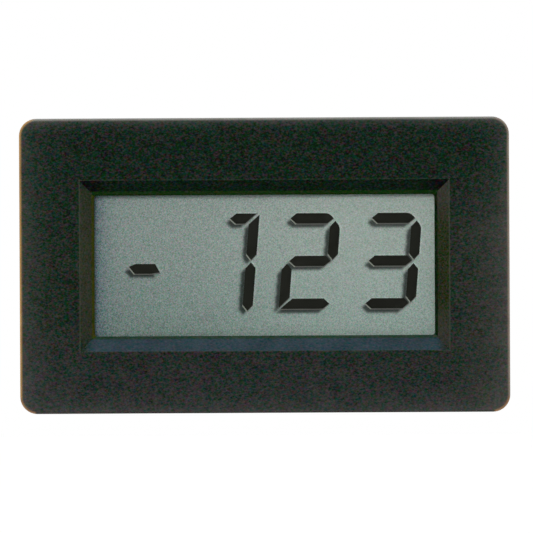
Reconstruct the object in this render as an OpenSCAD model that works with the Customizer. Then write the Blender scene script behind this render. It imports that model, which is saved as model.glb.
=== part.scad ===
// Digital panel meter: a three and a half digit liquid crystal voltmeter that snaps into a panel.
// The assembly is drawn lying on its back: x runs to the right and y up, as read from the front,
// and z points at the reader, with z = 0 on the flange's back face, which lies on the panel.
// stand_up() then turns it upright, so that Z is up and the face looks along -Y.

/* [Display] */
// Width of the display glass
glass_w = 50.8; // [40:0.1:70]
// Height of the front glass, with its two contact ledges
glass_h = 30.5; // [30.3:0.1:45]
// Thickness of each glass plate
glass_t = 1.1; // [0.7:0.1:1.6]
// Width of each contact ledge, where the front glass reaches past the rear one
contact_ledge = 3.05; // [2.8:0.05:3.6]
// Gap between the two glass plates
cell_gap = 0.1; // [0.05:0.05:0.3]
// Width of the seal that joins the glass plates
seal_w = 1.0; // [0.6:0.1:1.6]
// Thickness of each polarising film
film_t = 0.2; // [0.1:0.05:0.4]
// How far the window's frame covers the glass at each side
cover_x = 2.8; // [2.2:0.1:5]
// How far the window's frame covers the rear glass at the top and bottom
cover_y = 2.85; // [2.5:0.05:5]

/* [Digits] */
// Height of a digit
digit_h = 12.7; // [9:0.1:13.6]
// Width of a digit
digit_w = 7.35; // [5.5:0.05:8]
// Distance from one digit to the next
digit_pitch = 10.82; // [9:0.02:11.2]
// Distance from the window's right edge to the middle of the last digit
last_digit_inset = 5.76; // [5.4:0.02:8.6]
// Height of the digits' middle above the middle of the display
digit_y = 0.55; // [-0.6:0.05:0.6]
// Width of a segment
segment_w = 1.35; // [0.8:0.05:1.6]
// Length of a segment's pointed tip
tip_len = 0.78; // [0.5:0.02:1]
// Distance from the middle of a join to each segment's tip
tip_gap = 0.25; // [0.15:0.05:0.4]
// How far the upright segments sit below the middle of their joins
stem_drop = 0.1; // [0:0.05:0.14]
// Gap at the mitred corner of the figure one
mitre_gap = 0.41; // [0.2:0.01:0.5]
// Gap at the mitred corner of the figure two
corner_gap = 0.2; // [0.1:0.05:0.3]
// How much wider each mitre is at its inner end
mitre_spread = 0.17; // [0:0.01:0.25]
// Radius of the eased outer corners
corner_ease = 0.55; // [0.1:0.05:0.6]
// Sideways lean of the digits, per unit of height
slant = 0.08; // [0:0.01:0.12]
// Thickness of a segment
segment_t = 0.06; // [0.02:0.01:0.1]
// Distance from the middle of the first digit's place to the middle of the minus sign
minus_lead = 11.2; // [9.2:0.1:12.4]
// Height of the minus sign's centre
minus_y = -0.4; // [-2:0.1:2]

/* [Bezel] */
// Thickness of the flange
flange_t = 3.2; // [2.6:0.1:5]
// How far the flange laps past the tub at each side
lap_x = 1.7; // [1.2:0.1:6]
// How far the flange laps past the tub at the top and bottom
lap_y = 2.28; // [1.2:0.02:8]
// Radius of the flange's corners
flange_corner_r = 2.3; // [1:0.1:4]
// Radius of the rounded front edge
edge_round = 0.4; // [0.1:0.05:0.8]
// Depth of the sloping frame round the window
bevel_depth = 1.8; // [1:0.1:2]
// Width of the sloping frame round the window
bevel_run = 1.62; // [0.8:0.02:2.4]
// Depth of the steep inner lip of the window
lip_depth = 0.6; // [0.2:0.05:0.8]
// Width of the steep inner lip of the window
lip_run = 0.4; // [0.1:0.05:0.6]
// Radius of the window's inner corners
lip_corner_r = 0.4; // [0.1:0.05:1]

/* [Tub] */
// Wall thickness
wall = 1.3; // [1:0.1:2]
// Depth of the tub behind the panel's front surface
tub_depth = 13; // [12.6:0.2:20]
// Radius of the tub's outer corners
tub_corner_r = 1.2; // [0.5:0.1:2]
// Clearance round the display glass in its pocket
glass_clear = 0.3; // [0.1:0.05:0.4]
// Clearance between the tub's top and bottom walls and the glass
end_clear = 0.75; // [0.5:0.05:2]
// Diameter of the corner bosses
boss_d = 3.5; // [3:0.1:4]
// Clearance between a boss and the glass
boss_clear = 0.45; // [0.35:0.05:1]
// Distance of a boss's centre from the top or bottom wall
boss_inset = 2; // [1.8:0.1:3]
// Thickness of the webs that tie a boss to the walls
web_t = 0.9; // [0.6:0.1:1.2]
// Height of the step round the tub's root, which centres the meter in the panel's opening
step_h = 0.4; // [0.2:0.1:0.6]
// How far the tub's floor lies below the flange's back face
floor_sink = 0.2; // [0.1:0.05:0.4]

/* [Rails and clips] */
// Width of the rail's stem
stem_w = 3; // [2:0.1:4]
// Height of the rail's stem
stem_h = 1; // [0.8:0.1:1.4]
// Width of the rail's head
rail_w = 6; // [5.2:0.1:6.1]
// Thickness of the rail's head
rail_t = 0.8; // [0.6:0.1:1.2]
// Height of a ratchet tooth
tooth_h = 0.5; // [0.3:0.05:0.8]
// Spacing of the ratchet teeth
tooth_pitch = 1; // [0.8:0.1:2]
// How far the teeth lie below the tub's side
rail_setback = 0.2; // [0.1:0.05:0.6]
// Running gap between a clip and its rail
slide_gap = 0.1; // [0.08:0.01:0.15]
// Thickness of the panel that the meter sits in
panel_t = 3; // [2.4:0.1:3.6]
// Length of a clip
clip_len = 8; // [7.5:0.1:9]
// Thickness of a clip's side walls
clip_wall = 1.2; // [0.8:0.1:1.4]
// Thickness of a clip's outer wall
bridge_t = 1.1; // [0.8:0.05:1.2]
// Room between the ratchet teeth and a clip's outer wall, where the pawl's tooth stands
pawl_room = 0.5; // [0.3:0.05:0.5]
// Width of the pawl's tongue
pawl_w = 2.6; // [1.6:0.1:3]
// Width of the slot round the tongue
pawl_slot = 0.5; // [0.3:0.05:0.6]
// Length of the tongue
pawl_len = 3.8; // [3:0.1:4]
// Thickness of a clip's foot
foot_t = 1.6; // [1:0.1:1.8]
// Clearance between a clip's foot and the sides of its channel
foot_clear = 0.5; // [0.3:0.05:1]
// Width of the channel that a clip runs in
channel_w = 14.6; // [13:0.1:15]

/* [Board] */
// Height of the frame that holds the contact strips, from the display's back to the board
frame_h = 4.7; // [4:0.1:6]
// Thickness of the circuit board
board_t = 1.6; // [1:0.1:2]
// Clearance between the board's edge and the tub
board_clear = 0.2; // [0.1:0.05:0.3]
// Thickness of a contact strip
strip_t = 2.3; // [1.8:0.1:2.3]
// How far the contact strips stop short of the glass's ends
strip_inset = 0.7; // [0.6:0.1:4]
// Clearance round a contact strip in its slot
strip_clear = 0.1; // [0.05:0.05:0.15]
// Thickness of the frame's walls beside the strips
frame_wall = 1.1; // [0.8:0.1:1.3]
// Width of the frame's two cross ribs
rib_w = 1.2; // [0.8:0.1:2]
// Thickness of the frame's cross ribs
rib_t = 2.6; // [1.5:0.1:2.8]

/* [Board screws] */
// Diameter of a screw's shank
screw_d = 1.4; // [1.2:0.1:1.6]
// Length of a screw under its head
screw_len = 5; // [4:0.2:5.4]
// Diameter of a screw's head
head_d = 3; // [2.6:0.1:3.2]
// Height of a screw's head
head_h = 1; // [0.8:0.1:1.4]
// Radial clearance of the screw in its boss
screw_fit = 0.04; // [0.02:0.01:0.08]

/* [Converter chip] */
// How far the chip's body reaches past the space of its end pins
chip_end = 0.6; // [0.4:0.1:0.8]
// Width of the chip's body
chip_w = 13.8; // [12.8:0.1:14]
// Thickness of the chip's body
chip_t = 3.8; // [3:0.1:4]
// Clearance between the chip's ends and the tub
chip_clear = 1; // [0.5:0.1:2]
// Height of the chip's centre line above the middle of the board
chip_y = 2.6; // [2.2:0.1:2.8]
// Number of pins in each row
pins_in_row = 20; // [14:2:20]
// Distance between neighbouring pins
pin_pitch = 2.54; // [2.4:0.02:2.54]
// Distance between the two rows of pins
row_gap = 15.24; // [15:0.02:15.4]
// Height of the chip's body above the board
chip_stand = 0.5; // [0.3:0.05:0.8]
// Width of a pin's shoulder
pin_w = 1.4; // [1:0.1:1.6]
// Thickness of a pin
pin_t = 0.28; // [0.2:0.02:0.34]

/* [Small parts] */
// Side of the trimmer's square body
trimmer_w = 6.6; // [6:0.1:7]
// Height of the trimmer's body
trimmer_h = 4.3; // [4:0.1:4.6]
// Diameter of the trimmer's rotor
rotor_d = 3.8; // [3:0.1:4.4]
// Thickness of the trimmer's rotor
rotor_t = 1.2; // [0.8:0.1:1.8]
// Radial running clearance of the rotor
rotor_fit = 0.06; // [0.03:0.01:0.09]
// Distance from the board's right notch to the trimmer's middle
trimmer_inset = 5.4; // [4.6:0.1:6.2]
// Length of a film capacitor
film_cap_l = 7.2; // [6:0.1:7.4]
// Thickness of a film capacitor
film_cap_t = 2.5; // [2:0.1:3]
// Height of a film capacitor
film_cap_h = 4.4; // [3:0.1:5]
// Diameter of the ceramic capacitor's disc
disc_d = 3.6; // [3.2:0.1:3.8]
// Thickness of the ceramic capacitor's disc
disc_t = 1.8; // [1.2:0.1:2.4]
// Length of a resistor's body
resistor_l = 3.6; // [3:0.1:4.4]
// Diameter of a resistor's body
resistor_d = 1.9; // [1.5:0.1:2.1]
// Distance between a resistor's two holes
resistor_span = 7.62; // [7:0.02:8]
// Distance between neighbouring resistors
resistor_pitch = 2.8; // [2.4:0.1:3.2]
// Diameter of the small parts' leads
lead_d = 0.5; // [0.4:0.05:0.6]
// How far the leads reach through the board
lead_out = 0.7; // [0.3:0.1:0.8]
// Radial clearance of a lead in its hole
lead_clear = 0.2; // [0.1:0.05:0.3]
// Number of holes for the wires
wire_holes = 5; // [3:1:6]
// Diameter of a wire's hole
wire_hole_d = 1; // [0.8:0.1:1.2]

/* [Hidden] */
$fn = 48;

// How far a cutting shape overshoots the face that it opens
over = 1;
// How far two shapes that make one body run into each other
weld = 0.1;

// Depths: the display's layers, and the board behind them
display_front = flange_t - bevel_depth - lip_depth;
glass_front = display_front - film_t;
cell_front = glass_front - glass_t;
rear_glass_front = cell_front - cell_gap;
rear_film_front = rear_glass_front - glass_t;
frame_front = rear_film_front - film_t;
board_front = frame_front - frame_h;
board_back = board_front - board_t;

// The tub, from the glass outwards
rear_glass_h = glass_h - 2 * contact_ledge;
pocket_w = glass_w + 2 * glass_clear;
pocket_h = glass_h + 2 * glass_clear;
boss_gap = 0.15;
chip_l = pins_in_row * pin_pitch + 2 * chip_end;
channel_depth = stem_h + rail_t + tooth_h + rail_setback;
inner_w = 2 * max(glass_w / 2 + boss_clear + boss_d + boss_gap, chip_l / 2 + chip_clear + channel_depth);
boss_x = inner_w / 2 - boss_gap - boss_d / 2;
inner_h = glass_h + 2 * end_clear;
boss_y = inner_h / 2 - boss_inset;
tub_w = inner_w + 2 * wall;
tub_h = inner_h + 2 * wall;
flange_w = tub_w + 2 * lap_x;
flange_h = tub_h + 2 * lap_y;
channel_floor = tub_w / 2 - channel_depth;
rail_head_low = channel_floor + stem_h;
rail_head_high = rail_head_low + rail_t;
tooth_crest = rail_head_high + tooth_h;
pilot_d = screw_d + 2 * screw_fit;
pilot_depth = screw_len - board_t + 0.8;
screw_hole_d = screw_d + 0.6;

// The window
view_w = glass_w - 2 * cover_x;
view_h = rear_glass_h - 2 * cover_y;
lip_w = view_w + 2 * lip_run;
lip_h = view_h + 2 * lip_run;
rim_w = lip_w + 2 * bevel_run;
rim_h = lip_h + 2 * bevel_run;

// The digits
last_digit_x = view_w / 2 - last_digit_inset;
minus_x = last_digit_x - 2 * digit_pitch - minus_lead;
column = (digit_w - segment_w) / 2;
row = (digit_h - segment_w) / 2;
half = segment_w / 2;

// The display's rear half and the contact strips
film_inset = 0.2;
frame_room = 0.4;
glass_room = 0.1;
frame_reach = 0.2;
film_w = glass_w - 1;
film_h = rear_glass_h - 2 * film_inset;
frame_w = glass_w + 2 * frame_reach;
strip_len = glass_w - 2 * strip_inset;
frame_outer_h = inner_h - 2 * frame_room;
strip_y = rear_glass_h / 2 + glass_room + strip_clear + strip_t / 2;
strip_slot_h = strip_t + 2 * strip_clear;
strip_slot_w = strip_len + 2 * strip_clear;
frame_hole_h = 2 * (strip_y - strip_slot_h / 2 - frame_wall);
frame_hole_w = strip_slot_w;

// The board
board_w = inner_w - 2 * board_clear;
board_h = inner_h - 2 * board_clear;
notch_x = channel_floor - wall - board_clear;
notch_w = channel_w + 2 * (wall + board_clear);
lead_hole_d = lead_d + 2 * lead_clear;
tail_w = 0.5;
pin_hole_d = 0.9;
chip_row_y = [chip_y - row_gap / 2, chip_y + row_gap / 2];
pin_x = [for (i = [0 : pins_in_row - 1]) (i - (pins_in_row - 1) / 2) * pin_pitch];
parts_top = chip_row_y[0] - pin_hole_d / 2 - 0.8;
trimmer_y = parts_top - trimmer_w / 2;
trimmer_x = notch_x - trimmer_inset;
trimmer_foot = 0.3;
trimmer_foot_w = 1;
rotor_sink = 0.15;
trimmer_pins = [[-2.54, -1.27], [2.54, -1.27], [0, 1.27]];
upper_cap_y = parts_top - film_cap_t / 2;
lower_cap_y = upper_cap_y - film_cap_t - 0.7;
near_cap_x = trimmer_x - trimmer_w / 2 - 1 - film_cap_l / 2;
far_cap_x = near_cap_x - film_cap_l - 1.2;
film_cap_span = 5;
disc_span = 2.54;
cap_foot = 0.3;
disc_lift = 0.8;
resistor_x = far_cap_x - film_cap_l / 2 - 1.4 - resistor_span / 2;
resistor_y = parts_top - resistor_d / 2;
resistor_places = [
    [resistor_x, resistor_y], [resistor_x, resistor_y - resistor_pitch],
    [resistor_x - resistor_span - 1.4, resistor_y]
];
resistor_lift = resistor_d / 2 + 0.15;
bend_r = 0.6;
wire_x = [for (i = [0 : wire_holes - 1]) resistor_x - resistor_span / 2 - 2.2 - i * pin_pitch];
wire_y = parts_top - 4.2;

// The clips
clip_half = rail_w / 2 + slide_gap + clip_wall;
bridge_low = tooth_crest + pawl_room;
clip_outer = bridge_low + bridge_t;
lip_half = stem_w / 2 + slide_gap;
clip_inner = channel_floor + slide_gap;
foot_half = channel_w / 2 - foot_clear;
clip_front = -panel_t;
foot_inset = 0.2;
foot_out = flange_w / 2 - foot_inset;
gusset_l = 3;
groove_start = 0.4;
pawl_end = clip_front - foot_t - 2 * groove_start - pawl_slot;
grip_pitch = 0.6;

module stand_up() { rotate([90, 0, 0]) children(); }

// Parts on the back of the board are drawn with z pointing away from the board
module on_board_back(x, y) { translate([x, y, board_back]) mirror([0, 0, 1]) children(); }

module slab(w, h, low, high) { translate([-w / 2, -h / 2, low]) cube([w, h, high - low]); }

module rounded_rect(w, h, r) {
    square([w - 2 * r, h], center = true);
    square([w, h - 2 * r], center = true);
    for (x = [-1, 1], y = [-1, 1]) translate([x * (w / 2 - r), y * (h / 2 - r)]) circle(r);
}

// The edge of a slab of height t, seen in section: its outer top corner is an arc of radius ease
module edge_section(r, t, ease) {
    difference() {
        square([r, t]);
        translate([r - ease, t - ease]) difference() {
            square(ease + over);
            circle(ease);
        }
    }
}

// A slab with rounded corners and a rounded top edge
module eased_slab(w, h, t, r, ease) {
    side_w = w - 2 * r;
    side_h = h - 2 * r;
    slab(side_w, side_h, 0, t);
    for (turn = [0, 180]) rotate(turn) {
        translate([side_w / 2, side_h / 2, 0]) rotate([90, 0, 0])
            linear_extrude(side_h) edge_section(r, t, ease);
        translate([-side_w / 2, side_h / 2, 0]) rotate([90, 0, 90])
            linear_extrude(side_w) edge_section(r, t, ease);
    }
    for (x = [0, 1], y = [0, 1]) mirror([x, 0, 0]) mirror([0, y, 0])
        translate([side_w / 2, side_h / 2, 0]) rotate_extrude(angle = 90) edge_section(r, t, ease);
}

// A straight wall section of the tub's outline, set in by grow where grow is negative
module tub_outline(grow) {
    difference() {
        rounded_rect(tub_w + 2 * grow, tub_h + 2 * grow, max(tub_corner_r + grow, 0.2));
        for (side = [-1, 1])
            translate([side * (channel_floor + grow + tub_w / 2), 0])
                square([tub_w, channel_w - 2 * grow], center = true);
    }
}

// A bar whose section in the plane across y is the given outline
module along_y(length) { translate([0, length / 2, 0]) rotate([90, 0, 0]) linear_extrude(length) children(); }

// The window: a sloping frame with mitred corners, and a steep inner lip with rounded ones
module window() {
    slope = bevel_run / bevel_depth;
    rise = bevel_depth + over;
    lip_top = flange_t - bevel_depth;
    intersection() {
        along_y(flange_h) polygon([
            [-lip_w / 2, lip_top], [lip_w / 2, lip_top],
            [lip_w / 2 + rise * slope, lip_top + rise], [-lip_w / 2 - rise * slope, lip_top + rise]
        ]);
        rotate(90) along_y(flange_w) polygon([
            [-lip_h / 2, lip_top], [lip_h / 2, lip_top],
            [lip_h / 2 + rise * slope, lip_top + rise], [-lip_h / 2 - rise * slope, lip_top + rise]
        ]);
    }
    steep = lip_run / lip_depth;
    hull() {
        translate([0, 0, display_front - over])
            linear_extrude(0.01)
                rounded_rect(view_w - 2 * steep * over, view_h - 2 * steep * over, lip_corner_r, $fn = 24);
        translate([0, 0, lip_top])
            linear_extrude(0.01) rounded_rect(lip_w, lip_h, lip_corner_r, $fn = 24);
    }
}

// A boss in each corner, tied to the two walls beside it by webs
module bosses() {
    root = floor_sink + weld;
    web_top = board_front + 1;
    for (x = [-1, 1], y = [-1, 1]) scale([x, y, 1]) {
        translate([boss_x, boss_y, board_front]) cylinder(d = boss_d, h = root - board_front);
        translate([boss_x, boss_y - web_t / 2, web_top])
            cube([inner_w / 2 - boss_x + weld, web_t, root - web_top]);
        translate([boss_x - web_t / 2, boss_y, web_top])
            cube([web_t, inner_h / 2 - boss_y + weld, root - web_top]);
    }
}

// The T-shaped rail on the tub's right side, with ratchet teeth that let a clip run towards the panel
module rail() {
    length = tub_depth - step_h + weld;
    end_room = 0.3;
    tooth_back = tooth_pitch * 0.9;
    stem = [stem_w, channel_floor - weld, rail_head_low + weld];
    for (part = [stem, [rail_w, rail_head_low, rail_head_high]])
        translate([part[1], -part[0] / 2, -tub_depth]) cube([part[2] - part[1], part[0], length]);
    teeth = floor((length - 4 * end_room) / tooth_pitch);
    rotate([90, 0, 0]) translate([0, 0, -rail_w / 2]) linear_extrude(rail_w) for (i = [0 : teeth - 1])
        translate([rail_head_high, -tub_depth + end_room + i * tooth_pitch])
            polygon([[-weld, 0], [0, 0], [tooth_h, tooth_pitch * 0.75], [tooth_h, tooth_back],
                     [0, tooth_back], [-weld, tooth_back]]);
}

module housing() {
    color("#2b302c") stand_up() difference() {
        union() {
            difference() {
                union() {
                    eased_slab(flange_w, flange_h, flange_t, flange_corner_r, edge_round);
                    translate([0, 0, -tub_depth]) linear_extrude(tub_depth + weld) tub_outline(0);
                    translate([0, 0, -step_h]) linear_extrude(step_h + weld)
                        rounded_rect(tub_w, tub_h, tub_corner_r);
                }
                translate([0, 0, -tub_depth - over]) linear_extrude(tub_depth + over + floor_sink)
                    tub_outline(-wall);
            }
            bosses();
            rail();
            rotate(180) rail();
        }
        slab(pocket_w, pocket_h, floor_sink - weld / 2, display_front);
        window();
        for (x = [-1, 1], y = [-1, 1]) translate([x * boss_x, y * boss_y, board_front - over])
            cylinder(d = pilot_d, h = pilot_depth + over);
    }
}

module front_polariser() {
    color("#9aa69e", 0.35) stand_up() slab(film_w, film_h, glass_front, display_front);
}

module front_glass() { color("#c8d2cc", 0.3) stand_up() slab(glass_w, glass_h, cell_front, glass_front); }

module cell_seal() {
    color("#6f7a72") stand_up() difference() {
        slab(glass_w, rear_glass_h, rear_glass_front, cell_front);
        slab(glass_w - 2 * seal_w, rear_glass_h - 2 * seal_w, rear_glass_front - over, cell_front + over);
    }
}

module rear_glass() {
    color("#c8d2cc", 0.3) stand_up() slab(glass_w, rear_glass_h, rear_film_front, rear_glass_front);
}

module reflector() { color("#8fa099") stand_up() slab(film_w, film_h, frame_front, rear_film_front); }

// Each segment is an outline in the plane of an upright digit, which lean() then slants
function lean(outline) = [for (p = outline) [p[0] + slant * p[1], p[1]]];

// A corner taken off by a curve that starts and ends at the same distance from it
function eased(before, corner, after) =
    let (a = (before - corner) / norm(before - corner), b = (after - corner) / norm(after - corner))
    [for (t = [0 : 0.25 : 1])
        corner + corner_ease * ((1 - t) * (1 - t) * a + t * t * b)];

// A segment across the digit, between its two tips. An eased corner is its upper right one.
function cross_bar(v, left, right, ease_right = false) =
    let (up = v + half, low = v - half, start = [left + tip_len, up])
    let (tip = [right, v], shoulder = [right - half, up])
    concat([[left, v], start], ease_right ? eased(start, shoulder, tip) : [shoulder],
        [tip, [right - tip_len, low], [left + tip_len, low]]);

// A segment up the digit, between its two tips. An eased corner is its upper right one.
function stem(u, low, high, ease_right = false) =
    let (tip = [u, high], shoulder = [u + half, high - tip_len], foot = [u + half, low + tip_len])
    concat([[u, low], [u - half, low + tip_len], [u - half, high - tip_len], tip],
        ease_right ? eased(tip, shoulder, foot) : [shoulder], [foot]);

upper_stem = [tip_gap - stem_drop, row - tip_gap - stem_drop];
lower_stem = [-row + tip_gap - stem_drop, -tip_gap - stem_drop];

module lit(outline) { linear_extrude(segment_t) polygon(lean(outline)); }

module place_digit(from_last) {
    translate([last_digit_x - from_last * digit_pitch, digit_y, cell_front - segment_t]) children();
}

module figure_three() {
    color("#20221e") stand_up() place_digit(0) {
        lit(cross_bar(row, -column, column - tip_gap, true));
        lit(stem(column, upper_stem[0], upper_stem[1], true));
        lit(cross_bar(0, -column, column - tip_gap));
        lit(stem(column, lower_stem[0], lower_stem[1]));
        lit(cross_bar(-row, -column, column - tip_gap));
    }
}

module figure_two() {
    color("#20221e") stand_up() place_digit(1) {
        lit(cross_bar(row, -column, column - tip_gap, true));
        lit(stem(column, upper_stem[0], upper_stem[1], true));
        lit(cross_bar(0, -column + tip_gap, column - tip_gap));
        lit([
            [-column - half, -row - half + corner_gap / 2], [-column - half, lower_stem[1] - tip_len],
            [-column, lower_stem[1]], [-column + half, lower_stem[1] - tip_len],
            [-column + half, -row + half + mitre_spread]
        ]);
        lit([
            [-column - half + corner_gap, -row - half],
            [-column + half + corner_gap + mitre_spread, -row + half],
            [column - tip_len, -row + half], [column, -row], [column - tip_len, -row - half]
        ]);
    }
}

module figure_one() {
    flag_tip = -half / 3;
    foot_reach = 0.25;
    head_drop = 0.16;
    color("#20221e") stand_up() place_digit(2) {
        lit([
            [flag_tip, row], [flag_tip + tip_len, row + half], [column + half - mitre_gap, row + half],
            [column - half - mitre_gap - mitre_spread / 2, row - half], [flag_tip + tip_len, row - half]
        ]);
        lit([
            [column, upper_stem[0]], [column - half, upper_stem[0] + tip_len],
            [column - half, row - half - head_drop / 2], [column + half, row + half - head_drop],
            [column + half, upper_stem[0] + tip_len]
        ]);
        lit(stem(column, -row - half - foot_reach, -upper_stem[0]));
    }
}

// The minus sign: a short bar with slanting ends
module minus_sign() {
    color("#20221e") stand_up() translate([minus_x, minus_y, cell_front - segment_t]) linear_extrude(segment_t)
        polygon([[-2.08, 0.3], [-1.18, 0.66], [1.44, 0.66], [2.08, -0.51], [0.96, -0.63], [-1.32, -0.63]]);
}

// The frame behind the display, which holds the two contact strips in slots
module strip_frame() {
    color("#3a3d3c") stand_up() {
        difference() {
            slab(frame_w, frame_outer_h, board_front, cell_front);
            slab(frame_w + over, rear_glass_h + 2 * glass_room, frame_front, cell_front + over);
            slab(frame_hole_w, frame_hole_h, board_front - over, cell_front + over);
            for (side = [-1, 1]) translate([0, side * strip_y, 0])
                slab(strip_slot_w, strip_slot_h, board_front - over, cell_front + over);
        }
        for (side = [-1, 1]) translate([side * frame_hole_w / 6, 0, 0])
            slab(rib_w, frame_hole_h + 2 * weld, frame_front - rib_t, frame_front);
    }
}

module contact_strip(side) {
    color("#1f2124") stand_up() translate([0, side * strip_y, 0])
        slab(strip_len, strip_t, board_front, cell_front);
}

module top_contact_strip() { contact_strip(1); }
module bottom_contact_strip() { contact_strip(-1); }

module board_hole(x, y, d) { translate([x, y, board_back - over]) cylinder(d = d, h = board_t + 2 * over); }

module circuit_board() {
    color("#2f5d3a") stand_up() difference() {
        slab(board_w, board_h, board_back, board_front);
        for (side = [-1, 1]) translate([side * (notch_x + board_w / 2), 0, 0])
            slab(board_w, notch_w, board_back - over, board_front + over);
        for (x = [-1, 1], y = [-1, 1]) board_hole(x * boss_x, y * boss_y, screw_hole_d);
        for (x = pin_x, y = chip_row_y) board_hole(x, y, pin_hole_d);
        for (pin = trimmer_pins) board_hole(trimmer_x + pin[0], trimmer_y + pin[1], lead_hole_d);
        for (end = [-1, 1]) {
            for (at = [[near_cap_x, upper_cap_y], [near_cap_x, lower_cap_y], [far_cap_x, upper_cap_y]])
                board_hole(at[0] + end * film_cap_span / 2, at[1], lead_hole_d);
            board_hole(far_cap_x + end * disc_span / 2, lower_cap_y, lead_hole_d);
            for (at = resistor_places) board_hole(at[0] + end * resistor_span / 2, at[1], lead_hole_d);
        }
        for (x = wire_x) board_hole(x, wire_y, wire_hole_d);
    }
}

// Pan head with a cross recess, over a plain shank
module board_screw() {
    slot_w = 0.4;
    difference() {
        union() {
            cylinder(d = head_d, h = head_h * 0.6);
            translate([0, 0, head_h * 0.6]) cylinder(d1 = head_d, d2 = head_d * 0.75, h = head_h * 0.4);
            translate([0, 0, 0.1 - screw_len]) cylinder(d = screw_d, h = screw_len - 0.1 + 0.1);
        }
        for (turn = [45, 135]) rotate(turn) slab(head_d * 0.55, slot_w, head_h * 0.45, head_h + over);
    }
}

module board_screws() {
    color("#b9bcc0") stand_up() for (x = [-1, 1], y = [-1, 1])
        on_board_back(x * boss_x, y * boss_y) board_screw();
}

// The converter chip's body tapers both ways from its middle, and has a notch at the first pin's end
module chip_body() {
    taper = 0.35;
    notch_r = 1.3;
    notch_sink = 0.6;
    dimple_r = 0.8;
    dimple_sink = 0.2;
    dimple_inset = 2.4;
    middle = chip_stand + chip_t / 2;
    top = chip_stand + chip_t;
    color("#26282a") stand_up() on_board_back(0, chip_y) difference() {
        intersection() {
            along_y(chip_w) polygon([
                [-chip_l / 2 + taper, chip_stand], [-chip_l / 2, middle], [-chip_l / 2 + taper, top],
                [chip_l / 2 - taper, top], [chip_l / 2, middle], [chip_l / 2 - taper, chip_stand]
            ]);
            rotate(90) along_y(chip_l) polygon([
                [-chip_w / 2 + taper, chip_stand], [-chip_w / 2, middle], [-chip_w / 2 + taper, top],
                [chip_w / 2 - taper, top], [chip_w / 2, middle], [chip_w / 2 - taper, chip_stand]
            ]);
        }
        translate([-chip_l / 2 + taper, 0, top - notch_sink]) cylinder(r = notch_r, h = over);
        translate([-chip_l / 2 + dimple_inset, -chip_w / 2 + dimple_inset, top - dimple_sink])
            cylinder(r = dimple_r, h = over);
    }
}

// A pin leaves the body's middle, turns down at the shoulder and narrows at the board
module chip_pin(side) {
    middle = chip_stand + chip_t / 2;
    reach = row_gap / 2;
    scale([1, side, 1]) {
        translate([-pin_w / 2, chip_w / 2, middle - pin_t / 2])
            cube([pin_w, reach - chip_w / 2 + pin_t / 2, pin_t]);
        translate([-pin_w / 2, reach - pin_t / 2, chip_stand])
            cube([pin_w, pin_t, middle - chip_stand + pin_t / 2]);
        translate([-tail_w / 2, reach - pin_t / 2, -board_t - lead_out])
            cube([tail_w, pin_t, board_t + lead_out + chip_stand + weld]);
    }
}

module chip_pins() {
    color("#c3c6c8") stand_up() on_board_back(0, chip_y)
        for (x = pin_x, side = [-1, 1]) translate([x, 0, 0]) chip_pin(side);
}

// The trimmer's body stands on four small feet, with a round well for its rotor
module trimmer_body() {
    top = trimmer_foot + trimmer_h;
    corner = trimmer_w / 2 - trimmer_foot_w / 2 - 0.1;
    color("#2d5c9e") stand_up() on_board_back(trimmer_x, trimmer_y) {
        difference() {
            translate([0, 0, trimmer_foot]) linear_extrude(trimmer_h) rounded_rect(trimmer_w, trimmer_w, 0.4);
            translate([0, 0, top - rotor_t - rotor_sink])
                cylinder(d = rotor_d + 2 * rotor_fit, h = rotor_t + over);
        }
        for (x = [-1, 1], y = [-1, 1]) translate([x * corner, y * corner, 0])
            slab(trimmer_foot_w, trimmer_foot_w, 0, trimmer_foot + weld);
    }
}

module trimmer_rotor() {
    floor_z = trimmer_foot + trimmer_h - rotor_t - rotor_sink;
    blade_w = 0.6;
    color("#e9e4d8") stand_up() on_board_back(trimmer_x, trimmer_y) difference() {
        translate([0, 0, floor_z]) cylinder(d = rotor_d, h = rotor_t);
        rotate(35) slab(rotor_d * 0.8, blade_w, floor_z + rotor_t / 2, floor_z + rotor_t + over);
    }
}

// A straight lead from the given height down through the board
module lead(height) {
    translate([0, 0, -board_t - lead_out]) cylinder(d = lead_d, h = board_t + lead_out + height);
}

module trimmer_leads() {
    color("#c3c6c8") stand_up() on_board_back(trimmer_x, trimmer_y)
        for (pin = trimmer_pins) translate(pin) lead(trimmer_foot);
}

// A boxed film capacitor on two feet
module film_capacitor(x, y) {
    corner_r = 0.35;
    foot_w = 0.5;
    foot_end = film_cap_l / 2 - foot_w / 2 - 0.15;
    color("#c23b22") stand_up() on_board_back(x, y) {
        translate([0, 0, cap_foot]) linear_extrude(film_cap_h) rounded_rect(film_cap_l, film_cap_t, corner_r);
        for (end = [-1, 1]) translate([end * foot_end, 0, 0])
            slab(foot_w, film_cap_t - 2 * corner_r - 0.1, 0, cap_foot + weld);
    }
}

module pair_of_leads(x, y, span, height) {
    color("#c3c6c8") stand_up() on_board_back(x, y)
        for (end = [-1, 1]) translate([end * span / 2, 0, 0]) lead(height);
}

module integrating_capacitor() { film_capacitor(near_cap_x, upper_cap_y); }
module integrating_capacitor_leads() { pair_of_leads(near_cap_x, upper_cap_y, film_cap_span, cap_foot); }
module zeroing_capacitor() { film_capacitor(near_cap_x, lower_cap_y); }
module zeroing_capacitor_leads() { pair_of_leads(near_cap_x, lower_cap_y, film_cap_span, cap_foot); }
module reference_capacitor() { film_capacitor(far_cap_x, upper_cap_y); }
module reference_capacitor_leads() { pair_of_leads(far_cap_x, upper_cap_y, film_cap_span, cap_foot); }

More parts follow.
